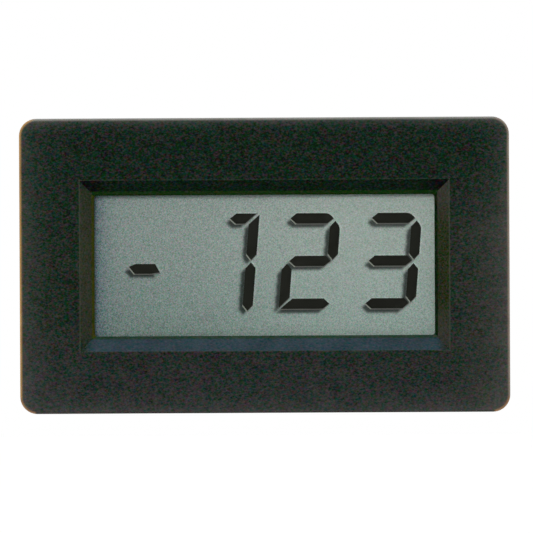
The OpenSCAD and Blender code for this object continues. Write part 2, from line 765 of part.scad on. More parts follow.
// A ceramic disc with a round rim stands on its two leads, which enter it from below
module disc_capacitor() {
    middle = disc_lift + disc_d / 2;
    color("#c98a3a") stand_up() on_board_back(far_cap_x, lower_cap_y) difference() {
        translate([0, disc_t / 2, middle]) rotate([90, 0, 0]) rotate_extrude() {
            square([(disc_d - disc_t) / 2, disc_t]);
            translate([(disc_d - disc_t) / 2, disc_t / 2]) intersection() {
                circle(d = disc_t);
                translate([0, -disc_t]) square([disc_t, 2 * disc_t]);
            }
        }
        for (end = [-1, 1]) translate([end * disc_span / 2, 0, -over])
            cylinder(d = lead_d + 0.08, h = middle + over);
    }
}

module disc_capacitor_leads() {
    pair_of_leads(far_cap_x, lower_cap_y, disc_span, disc_lift + disc_d / 2);
}

// A resistor's body is fatter at its two ends
module resistor(place) {
    end_l = resistor_l * 0.26;
    waist = resistor_d * 0.86;
    color("#cdb98c") stand_up() on_board_back(place[0], place[1]) translate([0, 0, resistor_lift])
        rotate([0, 90, 0]) {
            translate([0, 0, -resistor_l / 2 + 0.2]) cylinder(d = waist, h = resistor_l - 0.4);
            for (end = [0, 1]) mirror([0, 0, end]) translate([0, 0, resistor_l / 2 - end_l]) {
                cylinder(d1 = waist, d2 = resistor_d, h = end_l * 0.3);
                translate([0, 0, end_l * 0.3]) cylinder(d = resistor_d, h = end_l * 0.4);
                translate([0, 0, end_l * 0.7]) cylinder(d1 = resistor_d, d2 = waist * 0.8, h = end_l * 0.3);
            }
        }
}

// Each of a resistor's leads runs straight out, bends down and goes through the board
module resistor_leads(place) {
    drop = resistor_lift - bend_r;
    color("#c3c6c8") stand_up() on_board_back(place[0], place[1]) for (end = [0, 1]) mirror([end, 0, 0]) {
        translate([resistor_l / 2, 0, resistor_lift]) rotate([0, 90, 0])
            cylinder(d = lead_d, h = resistor_span / 2 - bend_r - resistor_l / 2);
        translate([resistor_span / 2 - bend_r, 0, drop]) rotate([90, 0, 0])
            rotate_extrude(angle = 90) translate([bend_r, 0]) circle(d = lead_d);
        translate([resistor_span / 2, 0, 0]) lead(drop);
    }
}

module input_resistor() { resistor(resistor_places[0]); }
module input_resistor_leads() { resistor_leads(resistor_places[0]); }
module clock_resistor() { resistor(resistor_places[1]); }
module clock_resistor_leads() { resistor_leads(resistor_places[1]); }
module reference_resistor() { resistor(resistor_places[2]); }
module reference_resistor_leads() { resistor_leads(resistor_places[2]); }

// The clip wraps round its rail. A tongue cut in its outer wall carries the pawl's tooth.
module clip() {
    clip_back = clip_front - clip_len;
    gusset_inset = 0.6;
    groove_sink = 0.3;
    tooth_root = 1;
    difference() {
        union() {
            translate([clip_inner, -clip_half, clip_back])
                cube([clip_outer - clip_inner, 2 * clip_half, clip_len]);
            translate([clip_inner, -foot_half, clip_front - foot_t])
                cube([foot_out - clip_inner, 2 * foot_half, foot_t]);
            for (side = [0, 1]) mirror([0, side, 0])
                translate([clip_inner + gusset_inset, 0, clip_front - foot_t]) rotate([90, 0, 90])
                    linear_extrude(clip_outer - clip_inner - 2 * gusset_inset) polygon([
                        [clip_half - weld, weld], [foot_half - 4 * weld, weld],
                        [foot_half - 4 * weld, -3 * weld], [clip_half - weld, -gusset_l]
                    ]);
        }
        translate([rail_head_low - slide_gap, -rail_w / 2 - slide_gap, clip_back - over])
            cube([bridge_low - rail_head_low + slide_gap, rail_w + 2 * slide_gap, clip_len + 2 * over]);
        translate([clip_inner - over, -lip_half, clip_back - over])
            cube([rail_head_low - clip_inner + over, 2 * lip_half, clip_len + 2 * over]);
        difference() {
            translate([bridge_low - weld, -pawl_w / 2 - pawl_slot, pawl_end - pawl_len])
                cube([bridge_t + over, pawl_w + 2 * pawl_slot, pawl_len + pawl_slot]);
            translate([bridge_low - over, -pawl_w / 2, pawl_end - pawl_len - over])
                cube([bridge_t + 3 * over, pawl_w, pawl_len + over]);
        }
        for (i = [0 : 1])
            translate([clip_outer - groove_sink, -clip_half - over, clip_back + groove_start + i * grip_pitch])
                cube([over, 2 * clip_half + 2 * over, grip_pitch / 2]);
    }
    rotate([90, 0, 0]) translate([0, 0, -pawl_w / 2]) linear_extrude(pawl_w) polygon([
        [bridge_low + weld, pawl_end - weld - tooth_root],
        [tooth_crest + slide_gap, pawl_end - weld - tooth_root],
        [bridge_low + weld, pawl_end - weld]
    ]);
}

module left_clip() { color("#33363a") stand_up() rotate(180) clip(); }
module right_clip() { color("#33363a") stand_up() clip(); }

housing();
front_polariser();
front_glass();
cell_seal();
minus_sign();
figure_one();
figure_two();
figure_three();
rear_glass();
reflector();
strip_frame();
top_contact_strip();
bottom_contact_strip();
circuit_board();
board_screws();
chip_body();
chip_pins();
trimmer_body();
trimmer_rotor();
trimmer_leads();
integrating_capacitor();
integrating_capacitor_leads();
zeroing_capacitor();
zeroing_capacitor_leads();
reference_capacitor();
reference_capacitor_leads();
disc_capacitor();
disc_capacitor_leads();
input_resistor();
input_resistor_leads();
clock_resistor();
clock_resistor_leads();
reference_resistor();
reference_resistor_leads();
left_clip();
right_clip();
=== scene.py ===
"""Dresses the digital panel meter: a finish for each of its solids, and the fine parts that lie on them."""
import math

import bpy
import numpy as np
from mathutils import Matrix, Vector


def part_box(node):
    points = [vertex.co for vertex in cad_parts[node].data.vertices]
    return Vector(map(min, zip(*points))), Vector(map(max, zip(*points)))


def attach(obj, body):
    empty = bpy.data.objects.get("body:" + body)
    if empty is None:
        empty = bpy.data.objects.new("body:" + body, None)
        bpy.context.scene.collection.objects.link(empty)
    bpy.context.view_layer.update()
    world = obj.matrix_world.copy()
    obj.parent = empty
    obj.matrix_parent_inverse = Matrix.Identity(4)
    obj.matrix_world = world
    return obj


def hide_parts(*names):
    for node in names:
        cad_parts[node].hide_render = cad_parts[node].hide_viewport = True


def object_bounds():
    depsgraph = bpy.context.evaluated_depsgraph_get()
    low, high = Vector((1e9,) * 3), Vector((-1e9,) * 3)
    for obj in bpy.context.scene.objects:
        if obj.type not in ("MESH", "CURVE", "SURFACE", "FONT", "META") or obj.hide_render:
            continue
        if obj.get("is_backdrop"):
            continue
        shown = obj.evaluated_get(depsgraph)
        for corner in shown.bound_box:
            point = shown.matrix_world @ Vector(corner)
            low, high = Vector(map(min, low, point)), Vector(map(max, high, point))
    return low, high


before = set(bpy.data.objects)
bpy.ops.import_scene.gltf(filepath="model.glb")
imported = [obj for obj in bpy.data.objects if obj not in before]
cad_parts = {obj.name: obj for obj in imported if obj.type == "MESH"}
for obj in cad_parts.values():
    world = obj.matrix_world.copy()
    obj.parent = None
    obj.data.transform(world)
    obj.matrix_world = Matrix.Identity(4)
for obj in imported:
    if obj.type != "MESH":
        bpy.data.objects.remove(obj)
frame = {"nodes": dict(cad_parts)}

bl_info = {
    "name": "Digital panel meter",
    "version": (1, 0, 0),
    "blender": (4, 5, 0),
    "location": "3D View > Sidebar > Meter",
    "description": "Finishes and fine parts of a liquid crystal panel meter",
    "category": "Add Mesh",
}

MM = 0.001
BODY = "meter"
BLACK = (0.0, 0.0, 0.0)
WHITE = (1.0, 1.0, 1.0)
DARKEST = (0.0008, 0.0008, 0.0008)
SQUARE = np.array([(-1, -1), (1, -1), (1, 1), (-1, 1)])
TILTED = (0.3, 0.5)  # a part of a surface's direction, from where a slope counts to where it counts in full


# ---------------------------------------------------------------- values that a user may change

def linear(r, g, b):
    """A colour written in 0 to 255 steps, as scene-linear parts: (c + 0.055) / 1.055 to the power 2.4."""
    steps = np.array([r, g, b]) / 255.0
    return tuple(np.where(steps <= 0.04045, steps / 12.92, ((steps + 0.055) / 1.055) ** 2.4).tolist())


# Each of the next six makes a setting from its label, its default and what it does.

def colour(name, steps, description):
    return bpy.props.FloatVectorProperty(
        name=name, description=description, default=linear(*steps), subtype="COLOR", size=3, min=0.0, max=1.0)


def four(name, values, description, **kind):
    return bpy.props.FloatVectorProperty(name=name, description=description, default=values, size=4, **kind)


def number(name, value, description, subtype, **kind):
    return bpy.props.FloatProperty(name=name, description=description, default=value, subtype=subtype, **kind)


def size(name, millimetres, description):
    return number(name, millimetres * MM, description, "DISTANCE", unit="LENGTH", precision=6)


def angle(name, degrees, description):
    return number(name, math.radians(degrees), description, "ANGLE")


def share(name, value, description):
    return number(name, value, description, "FACTOR", min=0.0, max=1.0)


class StageSettings(bpy.types.PropertyGroup):
    """Camera, lamps and floor."""
    lens: number("Lens", 600.0, "Focal length of the camera", "DISTANCE_CAMERA")
    distance: size("Distance", 1177.9, "Distance from the camera to the meter's face")
    aim_x: size("Aim across", 0.25, "How far to the right of the meter's middle the camera stands")
    aim_z: size("Aim up", -0.165, "How far above the meter's middle the camera stands")
    roll: angle("Roll", 0.3, "Turn of the camera about its own axis")
    key_power: number("Key lamp", 15.0, "Power of the large lamp above the camera", "POWER")
    key_height: angle("Key height", 13.0, "How far above the horizon the key lamp stands")
    key_side: angle("Key side", -5.0, "How far to the right of the camera the key lamp stands")
    sky_power: number("Sky lamp", 1.2, "Power of the cool lamp overhead", "POWER")
    sky_colour: colour("Sky colour", (205, 226, 255), "Colour of the lamp overhead")
    ambient: share("Ambient level", 0.42, "Level of the even light from all round")
    floor_drop: size("Floor drop", 60.0, "Distance from the meter's lowest point down to the floor")
    floor_colour: colour("Floor colour", (244, 244, 242), "Colour of the floor")


class HousingSettings(bpy.types.PropertyGroup):
    """The moulded plastic of the housing."""
    # Painted shade: the face colours make the face darker towards the top and paler towards the bottom and the right.
    face_top: colour("Face, top", (13, 26, 19), "Plastic near the top edge")
    face_middle: colour("Face, middle", (20, 29, 22), "Plastic at half height")
    face_bottom: colour("Face, bottom", (29, 33, 31), "Plastic near the bottom edge")
    face_right: colour("Face, right", (36, 39, 35), "Plastic near the right edge")
    body: colour("Body", (36, 41, 38), "Plastic behind the face")
    # The slope and lip colours are painted light and shade, set by the way each faces: shaded above, a painted bluish
    # sky reflection below.
    slope_top: colour("Window slope, top", (2, 23, 12), "Slope above the display")
    slope_end: colour("Window slope, ends", (2, 5, 3), "Ends of the slope above the display")
    slope_bottom: colour("Window slope, bottom", (43, 56, 63), "Slope below the display")
    slope_left: colour("Window slope, left", (43, 46, 35), "Slope at the display's left")
    slope_left_end: colour("Window slope, left ends", (26, 38, 28), "Ends of the slope at the display's left")
    slope_right: colour("Window slope, right", (33, 38, 22), "Slope at the display's right")
    slope_right_end: colour("Window slope, right ends", (46, 46, 40), "Ends of the slope at the display's right")
    lip_lit: colour("Lip, left", (50, 54, 8), "Inner lip at the left")
    lip_shaded_top: colour("Lip, top", (16, 40, 4), "Inner lip at the top")
    lip_low: colour("Lip, bottom", (37, 55, 43), "Inner lip at the bottom")
    lip_dark: colour("Lip, right", (0, 26, 0), "Inner lip at the right")
    # The glow settings paint light: a paler tone beside the face's edges.
    glow: four("Glow", (0.048, 0.016, 0.022, 0.020),
               "How much paler the face is at its top, bottom, left and right edge", min=0.0, max=0.5)
    glow_reach: four("Glow reach", (0.00055, 0.0015, 0.002, 0.0017),
                     "Over what distance the paler tone fades from the top, bottom, left and right edge",
                     min=0.00001, unit="LENGTH", precision=6)
    glow_tint: colour("Glow tint", (255, 246, 243), "Colour of the paler tone beside the edges")
    rim_line: colour("Rim line", (62, 66, 56), "Thin worn line where the face meets the window's slopes")
    # The edge colours paint a highlight on the rounded front edge.
    edge_warm: colour("Edge, left", (196, 151, 90), "Rounded front edge at the left")
    edge_pale: colour("Edge, top", (152, 149, 142), "Rounded front edge at the top")
    edge_right: colour("Edge, right", (160, 143, 128), "Rounded front edge at the right")
    edge_low: colour("Edge, bottom", (52, 49, 46), "Rounded front edge at the bottom")
    edge_corner: colour("Edge, lower corners", (172, 128, 88), "Rounded front edge at the lower corners")
    fleck_size: size("Fleck size", 0.24, "Size of the flecks")
    fleck_depth: four("Fleck depth", (0.042, 0.075, 0.03, 0.055),
                      "How strongly the flecks change all colours, and then red, green and blue", min=0.0, max=1.0)
    roughness: share("Roughness", 0.75, "Roughness of the moulded surface")


class DisplaySettings(bpy.types.PropertyGroup):
    """The liquid crystal cell."""
    # The four ground corners and the left end band paint shade: darker towards the lower left and at the left end.
    upper_left: colour("Ground, upper left", (127, 140, 136), "Ground behind the figures, upper left")
    upper_right: colour("Ground, upper right", (148, 161, 155), "Ground behind the figures, upper right")
    lower_left: colour("Ground, lower left", (108, 125, 120), "Ground behind the figures, lower left")
    lower_right: colour("Ground, lower right", (137, 154, 148), "Ground behind the figures, lower right")
    left_end: colour("Ground, left end", (74, 92, 104), "Dusky band at the ground's left end")
    grain: size("Grain", 0.17, "Size of the ground's grain")
    grain_depth: four("Grain depth", (0.32, 0.42, 0.2, 0.42),
                      "How strongly the grain changes all colours, and then red, green and blue", min=0.0, max=2.0)
    seal: colour("Seal", (104, 114, 107), "Resin between the two glasses")
    reflector: colour("Reflector", (158, 168, 162), "Film behind the glasses")
    figure: colour("Figure", (32, 33, 29), "Lit segments")
    # The rims are a painted highlight under the segments' lower edges.
    rim_low: colour("Rim, low", (92, 91, 88), "Light rim under a segment's lower edge")
    rim_lit: colour("Rim, lit", (128, 131, 123), "Light rim on a segment's lower left tips")
    rim_width: size("Rim width", 0.155, "Width of the light rim under the segments")
    # The shadow and halo settings paint the segments' shadows and a halo into the ground's colour.
    shadow_shift: size("Shadow shift", 0.59, "How far the segments' shadows fall to the left and down")
    shadow_soft: size("Shadow softness", 0.13, "Blur of the segments' shadows")
    shadow_depth: share("Shadow depth", 0.86, "How much light the segments' shadows take")
    halo: share("Halo", 0.32, "How much lighter the ground is beside the segments' upper right edges")
    cell: size("Cell", 0.13, "Spacing of the ground's points")


class BoardSettings(bpy.types.PropertyGroup):
    """The circuit board and what lies on its back."""
    mask: colour("Solder mask", (28, 92, 56), "Green lacquer on the board")
    mask_track: colour("Track under mask", (48, 122, 74), "Lacquer over the copper tracks")
    core: colour("Laminate core", (168, 160, 110), "Cut edge of the board")
    tin: colour("Tin", (196, 197, 194), "Tinned pads, leads and solder")
    silk: colour("Silk line", (226, 228, 220), "Printed outlines on the board")
    track_width: size("Track width", 0.32, "Width of a copper track")
    track_height: size("Track height", 0.04, "Height of a track over the board")
    silk_width: size("Silk line width", 0.16, "Width of a printed line")
    pad_reach: size("Pad reach", 0.42, "How far a pad reaches past its hole")


class PartSettings(bpy.types.PropertyGroup):
    """The small parts, the screws and the clips."""
    chip: colour("Chip", (34, 35, 37), "Moulded resin of the chip")
    film_box: colour("Film capacitor", (168, 44, 26), "Case of the film capacitors")
    disc: colour("Disc capacitor", (196, 128, 52), "Coating of the disc capacitor")
    resistor: colour("Resistor", (204, 183, 138), "Coating of the resistors")
    trimmer: colour("Trimmer", (36, 84, 160), "Body of the trimmer")
    rotor: colour("Rotor", (232, 226, 208), "Rotor of the trimmer")
    screw: colour("Screw", (178, 180, 182), "Plated steel of the screws")
    clip: colour("Clip", (27, 30, 28), "Plastic of the clips")
    frame: colour("Strip frame", (52, 56, 55), "Plastic of the frame behind the display")
    rubber: colour("Contact strip", (26, 27, 30), "Conducting rubber of the contact strips")
    rubber_pale: colour("Contact strip, pale", (88, 90, 92), "Rubber between the conducting layers")


GROUPS = {
    "meter_stage": StageSettings,
    "meter_housing": HousingSettings,
    "meter_display": DisplaySettings,
    "meter_board": BoardSettings,
    "meter_parts": PartSettings,
}


# ---------------------------------------------------------------- finishes

def worked(operation, swapped=False):
    """A method that puts a Math node on a socket and another value. The other one comes first if swapped."""
    def method(self, other):
        return self.calc(operation, other, self) if swapped else self.calc(operation, self, other)
    return method


class Wire:
    """A socket in a node tree. Arithmetic on it adds Math nodes."""
    __array_ufunc__ = None

    def __init__(self, nodes, socket):
        self.nodes, self.socket = nodes, socket

    def calc(self, operation, *values):
        return self.nodes.node("ShaderNodeMath", {"operation": operation}, dict(enumerate(values)))

    __add__, __radd__ = worked("ADD"), worked("ADD", True)
    __sub__, __rsub__ = worked("SUBTRACT"), worked("SUBTRACT", True)
    __mul__, __rmul__ = worked("MULTIPLY"), worked("MULTIPLY", True)
    __truediv__, __pow__ = worked("DIVIDE"), worked("POWER")
    __gt__, __lt__ = worked("GREATER_THAN"), worked("LESS_THAN")
    most, least = worked("MAXIMUM"), worked("MINIMUM")

    def __neg__(self):
        return self * -1.0

    def __abs__(self):
        return self.calc("ABSOLUTE", self)

    def exp(self):
        return self.calc("EXPONENT", self)

    def wave(self, length):
        """A sine wave of that length, from -1 to 1."""
        return self.calc("SINE", self * (2 * math.pi / length))

    def ramp(self, low, high):
        """0 below low, 1 above high, and smooth between them. Low may be the larger one."""
        ends = (high, low, 1.0, 0.0) if low > high else (low, high, 0.0, 1.0)
        settings = {"interpolation_type": "SMOOTHSTEP"}
        return self.nodes.node("ShaderNodeMapRange", settings, dict(enumerate((self, *ends))))


class Nodes:
    """A node tree that nodes are added to."""

    def __init__(self, tree):
        self.tree = tree

    def feed(self, socket, value):
        """Links a socket to a wire, or sets its value."""
        if isinstance(value, Wire):
            self.tree.links.new(value.socket, socket)
        elif socket.type == "RGBA" and len(value) == 3:
            socket.default_value = (*value, 1.0)
        else:
            socket.default_value = value

    def node(self, kind, settings=None, inputs=None, output=0):
        """A node of that type. Its settings are set first, and then the values or links of its sockets."""
        made = self.tree.nodes.new(kind)
        for key, value in (settings or {}).items():
            setattr(made, key, value)
        for key, value in (inputs or {}).items():
            self.feed(made.inputs[key], value)
        return Wire(self, made.outputs[output])

    def seen_by(self, ray, *rays):
        """1 for rays of those kinds, and 0 for others."""
        seen = self.node("ShaderNodeLightPath", output=ray)
        return seen.most(self.seen_by(*rays)) if rays else seen


class Finish(Nodes):
    """A material on one Principled shader. Its constants are set on the shader's own sockets."""

    def __init__(self, name, **constants):
        self.material = bpy.data.materials.new(name)
        self.material.use_nodes = True
        super().__init__(self.material.node_tree)
        self.shader = self.tree.nodes["Principled BSDF"]
        for socket, value in constants.items():
            self.set(socket.replace("_", " "), value)

    def set(self, socket, value):
        self.feed(self.shader.inputs[socket], value)

    def place(self):
        """Where a point is, in the meter's own frame."""
        return self.node("ShaderNodeTexCoord", output="Object")

    def parts(self, vector):
        """A vector's or a colour's three parts."""
        split = self.node("ShaderNodeSeparateXYZ", inputs={0: vector})
        outputs = split.socket.node.outputs
        return [Wire(self, outputs[i]) for i in range(3)]

    def attribute(self, name, output="Fac"):
        """A value or a colour that the piece carries at its points."""
        return self.node("ShaderNodeAttribute", {"attribute_name": name}, output=output)

    def facing(self):
        """The surface's outward direction, split into its three parts."""
        return self.parts(self.node("ShaderNodeNewGeometry", output="Normal"))

    def noise(self, cell, detail=2.0, roughness=0.5, stretch=None, output="Fac"):
        """Noise whose features are about one cell across, or stretched by three numbers."""
        where = self.place()
        if stretch:
            where = self.vector("MULTIPLY", where, stretch)
        values = {"Vector": where, "Scale": 1.0 / cell, "Detail": detail, "Roughness": roughness}
        return self.node("ShaderNodeTexNoise", inputs=values, output=output)

    def vector(self, operation, first, second):
        """A sum, product or greater value of two vectors or colours, taken part by part."""
        return self.node("ShaderNodeVectorMath", {"operation": operation}, {0: first, 1: second})

    def mix(self, factor, first, second):
        """The first colour where the factor is 0, and the second where it is 1."""
        return self.node("ShaderNodeMix", {"data_type": "RGBA"}, {0: factor, 6: first, 7: second}, output=2)

    def shade(self, tint, level):
        """A colour times a value."""
        return self.node("ShaderNodeVectorMath", {"operation": "SCALE"}, {0: tint, "Scale": level})

    def speckled(self, tint, shared, cell, depth):
        """A colour with flecks added: one noise that red, green and blue share, and a coarser one for each.

        Blue's own noise leans on red's and green's, so the flecks run from green to plum.
        """
        own = self.noise(cell, 2.0, 0.5, stretch=(1.0, 1.0, 1.35), output="Color")
        red, green, blue = [part - 0.5 for part in self.parts(own)]
        blue = 0.47 * red + 0.2 * green + 0.86 * blue
        level = depth[0] * (shared - 0.5)
        flecks = {i: level + depth[i + 1] * part for i, part in enumerate((red, green, blue))}
        flecks = self.node("ShaderNodeCombineXYZ", inputs=flecks)
        return self.vector("MAXIMUM", self.vector("ADD", tint, flecks), DARKEST)

    def bump(self, height, strength=0.3, distance=0.02 * MM):
        values = {"Height": height, "Strength": strength, "Distance": distance}
        self.set("Normal", self.node("ShaderNodeBump", inputs=values))

    def cover(self, *names):
        """Puts the finish on those solids."""
        for name in names:
            solid = frame["nodes"][name]
            solid.data.materials.clear()
            solid.data.materials.append(self.material)


def plain_finish(name, tint, roughness, cell, depth=0.12, metallic=0.0, bump=0.15, specular=0.4, coat=0.0):
    """A finish whose colour, gloss and surface vary a little with a fine and a coarse noise."""
    finish = Finish(name, Metallic=metallic, Specular_IOR_Level=specular, Coat_Weight=coat)
    fine = finish.noise(cell * MM, 3.0, 0.6)
    broad = finish.noise(cell * 9 * MM, 2.0, 0.5)
    level = 1.0 + depth * (fine - 0.5) * 2.0 + depth * (broad - 0.5)
    finish.set("Base Color", finish.shade(tint, level))
    finish.set("Roughness", roughness + 0.25 * (broad - 0.5) * roughness)
    finish.bump(fine, bump)
    return finish


# ---------------------------------------------------------------- surfaces

def grid_faces(rows, columns, close_rows=False, close_columns=False):
    """Four-sided faces of a grid with points numbered row by row. A closed way joins its last line to its first."""
    row = np.arange(rows if close_rows else rows - 1)[:, None]
    column = np.arange(columns if close_columns else columns - 1)
    next_row, next_column = (row + 1) % rows, (column + 1) % columns
    corners = [row * columns + column, row * columns + next_column,
               next_row * columns + next_column, next_row * columns + column]
    return np.stack(corners, axis=-1).reshape(-1, 4)


def in_space(flat, y):
    """Places (x, z) as points in space, at the depth y or each at its own."""
    return np.stack([flat[..., 0], np.broadcast_to(y, flat.shape[:-1]), flat[..., 1]], axis=-1)


def repeated(faces, count, step):
    """The same faces for each of count copies, whose points are numbered step apart."""
    return (faces + (np.arange(count) * step)[:, None, None]).reshape(-1, faces.shape[1])


def enclosed(points, faces):
    """Signed volume inside the faces: a sixth of the sum of each fan triangle's triple product."""
    corners = points[faces]
    products = np.cross(corners[:, 1:-1], corners[:, 2:]) * corners[:, :1]
    return products.sum() / 6.0


def make_piece(name, points, faces, finish, smooth=False, body=BODY, values=None):
    """Makes a mesh piece from an array of points and an array of faces. Values is an attribute's name and its array."""
    points = np.asarray(points, float).reshape(-1, 3)
    if enclosed(points, faces) < 0:
        faces = faces[:, ::-1]
    mesh = bpy.data.meshes.new(name)
    mesh.vertices.add(len(points))
    mesh.vertices.foreach_set("co", points.astype(np.float32).ravel())
    mesh.loops.add(faces.size)
    mesh.loops.foreach_set("vertex_index", np.ascontiguousarray(faces, dtype=np.int32).ravel())
    mesh.polygons.add(len(faces))
    mesh.polygons.foreach_set("loop_start", np.arange(0, faces.size, faces.shape[1], dtype=np.int32))
    mesh.polygons.foreach_set("use_smooth", np.full(len(faces), smooth))
    mesh.update(calc_edges=True)
    if values:
        label, array = values
        kind, field = ("FLOAT_COLOR", "color") if array.ndim == 2 else ("FLOAT", "value")
        layer = mesh.attributes.new(label, kind, "POINT")
        layer.data.foreach_set(field, array.astype(np.float32).ravel())
    piece = bpy.data.objects.new(name, mesh)
    bpy.context.scene.collection.objects.link(piece)
    mesh.materials.append(finish.material)
    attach(piece, body)
    return piece


def turned_rings(centres, profile, sides):
    """A closed profile of (radius, height) turned about the board's own direction at each centre.

    A point is the centre, plus radius times the cosine across and the sine up, plus height to the back.
    """
    turn = np.linspace(0.0, 2.0 * math.pi, sides, endpoint=False)
    radius, height = np.array(profile).T
    ring = np.stack([np.cos(turn), np.sin(turn)], axis=-1)[:, None] * radius[:, None]
    points = np.asarray(centres)[:, None, None] + in_space(ring, height)
    faces = repeated(grid_faces(sides, len(profile), True, True), len(centres), sides * len(profile))
    return points.reshape(-1, 3), faces


def ribbons(paths, width, low, high):
    """Flat strips along paths of (x, z) points: at each point, four corners set out along the bend's middle.

    The corner's reach is half the width over the cosine of half the bend, so the strip keeps its width.
    """
    paths = np.asarray(paths, float)
    step = np.diff(paths, axis=1)
    step /= np.linalg.norm(step, axis=2, keepdims=True)
    ahead = np.concatenate([step, step[:, -1:]], axis=1)
    behind = np.concatenate([step[:, :1], step], axis=1)
    middle = ahead + behind
    middle /= np.linalg.norm(middle, axis=2, keepdims=True)
    reach = width / 2.0 / np.einsum("ijk,ijk->ij", middle, ahead)[..., None]
    side = np.stack([-middle[..., 1], middle[..., 0]], axis=-1) * reach
    left, right = paths + side, paths - side
    section = [in_space(left, low), in_space(right, low), in_space(right, high), in_space(left, high)]
    points = np.stack(section, axis=2)
    count, length = paths.shape[:2]
    tube = grid_faces(length, 4, False, True)
    caps = np.array([[3, 2, 1, 0], [0, 1, 2, 3]]) + np.array([[0], [(length - 1) * 4]])
    faces = repeated(np.concatenate([tube, caps]), count, length * 4)
    return points.reshape(-1, 3), faces


def prisms(corners, low, high):
    """Four-cornered plates: corners is an array of plates by 4 by (x, z), low and high their depths."""
    points = np.concatenate([in_space(corners, low), in_space(corners, high)], axis=1)
    box = np.array([[0, 1, 2, 3], [7, 6, 5, 4], [1, 0, 4, 5], [2, 1, 5, 6], [3, 2, 6, 7], [0, 3, 7, 4]])
    return points.reshape(-1, 3), repeated(box, len(corners), 8)


def rectangle_path(x_low, x_high, z_low, z_high):
    """A closed outline that starts and ends in the middle of its top side."""
    middle = (x_low + x_high) / 2
    return [(middle, z_high), (x_high, z_high), (x_high, z_low), (x_low, z_low), (x_low, z_high), (middle, z_high)]


def front_outline(names):
    """Front edges of those flat solids: start points, end points, the edges before and after each, and triangles.

    An edge belongs to the outline if only one of the front triangles has it.
    """
    found, total = [], 0
    for name in names:
        mesh = frame["nodes"][name].data
        mesh.calc_loop_triangles()
        co = np.empty((len(mesh.vertices), 3))
        triangles = np.empty((len(mesh.loop_triangles), 3), dtype=np.int64)
        mesh.vertices.foreach_get("co", co.ravel())
        mesh.loop_triangles.foreach_get("vertices", triangles.ravel())
        points, index = np.unique(np.round(co, 8), axis=0, return_inverse=True)
        triangles = index.reshape(-1)[triangles]
        front = points[:, 1].min() + 1e-6
        triangles = triangles[(points[triangles][:, :, 1] < front).all(axis=1)]
        start, end = np.concatenate([triangles[:, [0, 1]], triangles[:, [1, 2]], triangles[:, [2, 0]]]).T
        lonely = ~np.isin(start * len(points) + end, end * len(points) + start)
        start, end = start[lonely], end[lonely]
        starting, ending = np.zeros((2, len(points)), dtype=np.int64)
        starting[start] = ending[end] = np.arange(len(start)) + total
        flat = points[:, [0, 2]]
        found.append((flat[start], flat[end], ending[start], starting[end], flat[triangles]))
        total += len(start)
    return [np.concatenate(part) for part in zip(*found)]


# ---------------------------------------------------------------- places on the meter

def span(name):
    """Lowest and highest corner of a solid, as two arrays."""
    low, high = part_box(name)
    return np.array(low), np.array(high)


def middle(name):
    """The middle of a solid's box."""
    low, high = span(name)
    return (low + high) / 2


CAPACITORS = ["integrating_capacitor", "zeroing_capacitor", "reference_capacitor"]
RESISTORS = ["input_resistor", "clock_resistor", "reference_resistor"]
PAIRS = [*CAPACITORS, "disc_capacitor", *RESISTORS]
FIGURES = ["minus_sign", "figure_one", "figure_two", "figure_three"]
DOWN = np.array([-0.28, -0.96])  # the way that a segment's edge looks where its rim is widest
PIN_PITCH = 2.54 * MM
PINS = 20


def board_back():
    """Depth of the board's back, where the parts' leads end and the tracks lie."""
    return span("circuit_board")[1][1]


def lead_places(name):
    """Where a part's two leads go through the board."""
    low, high = span(name)
    radius, z = 0.25 * MM, (low[2] + high[2]) / 2
    return [np.array([low[0] + radius, z]), np.array([high[0] - radius, z])]


def pin_places():
    """The chip's two rows of pins, upper row first."""
    low, high = span("chip_pins")
    x = (np.arange(PINS) - (PINS - 1) / 2) * PIN_PITCH
    tail = 0.14 * MM
    return [np.stack([x, np.full(PINS, z)], axis=1) for z in (high[2] - tail, low[2] + tail)]


def trimmer_places():
    """Where the trimmer's three leads go through the board."""
    x, _, z = middle("trimmer_body")
    return [(x - PIN_PITCH, z - PIN_PITCH / 2), (x + PIN_PITCH, z - PIN_PITCH / 2), (x, z + PIN_PITCH / 2)]


def wire_places():
    """The row of empty holes for the wires, left of the resistors."""
    half_resistor, clear = 3.81 * MM, 2.2 * MM
    below_pins, drop = 1.25 * MM, 4.2 * MM
    first = middle("clock_resistor_leads")[0] - half_resistor - clear
    z = pin_places()[1][0, 1] - below_pins - drop
    return np.array([(first - i * PIN_PITCH, z) for i in range(5)])


def on_back(places):
    """Places (x, z) on the board's back as points in space."""
    return in_space(np.asarray(places), board_back())


# ---------------------------------------------------------------- operators

class MeterOperator:
    """What all the steps share."""
    bl_options = {"REGISTER", "UNDO"}


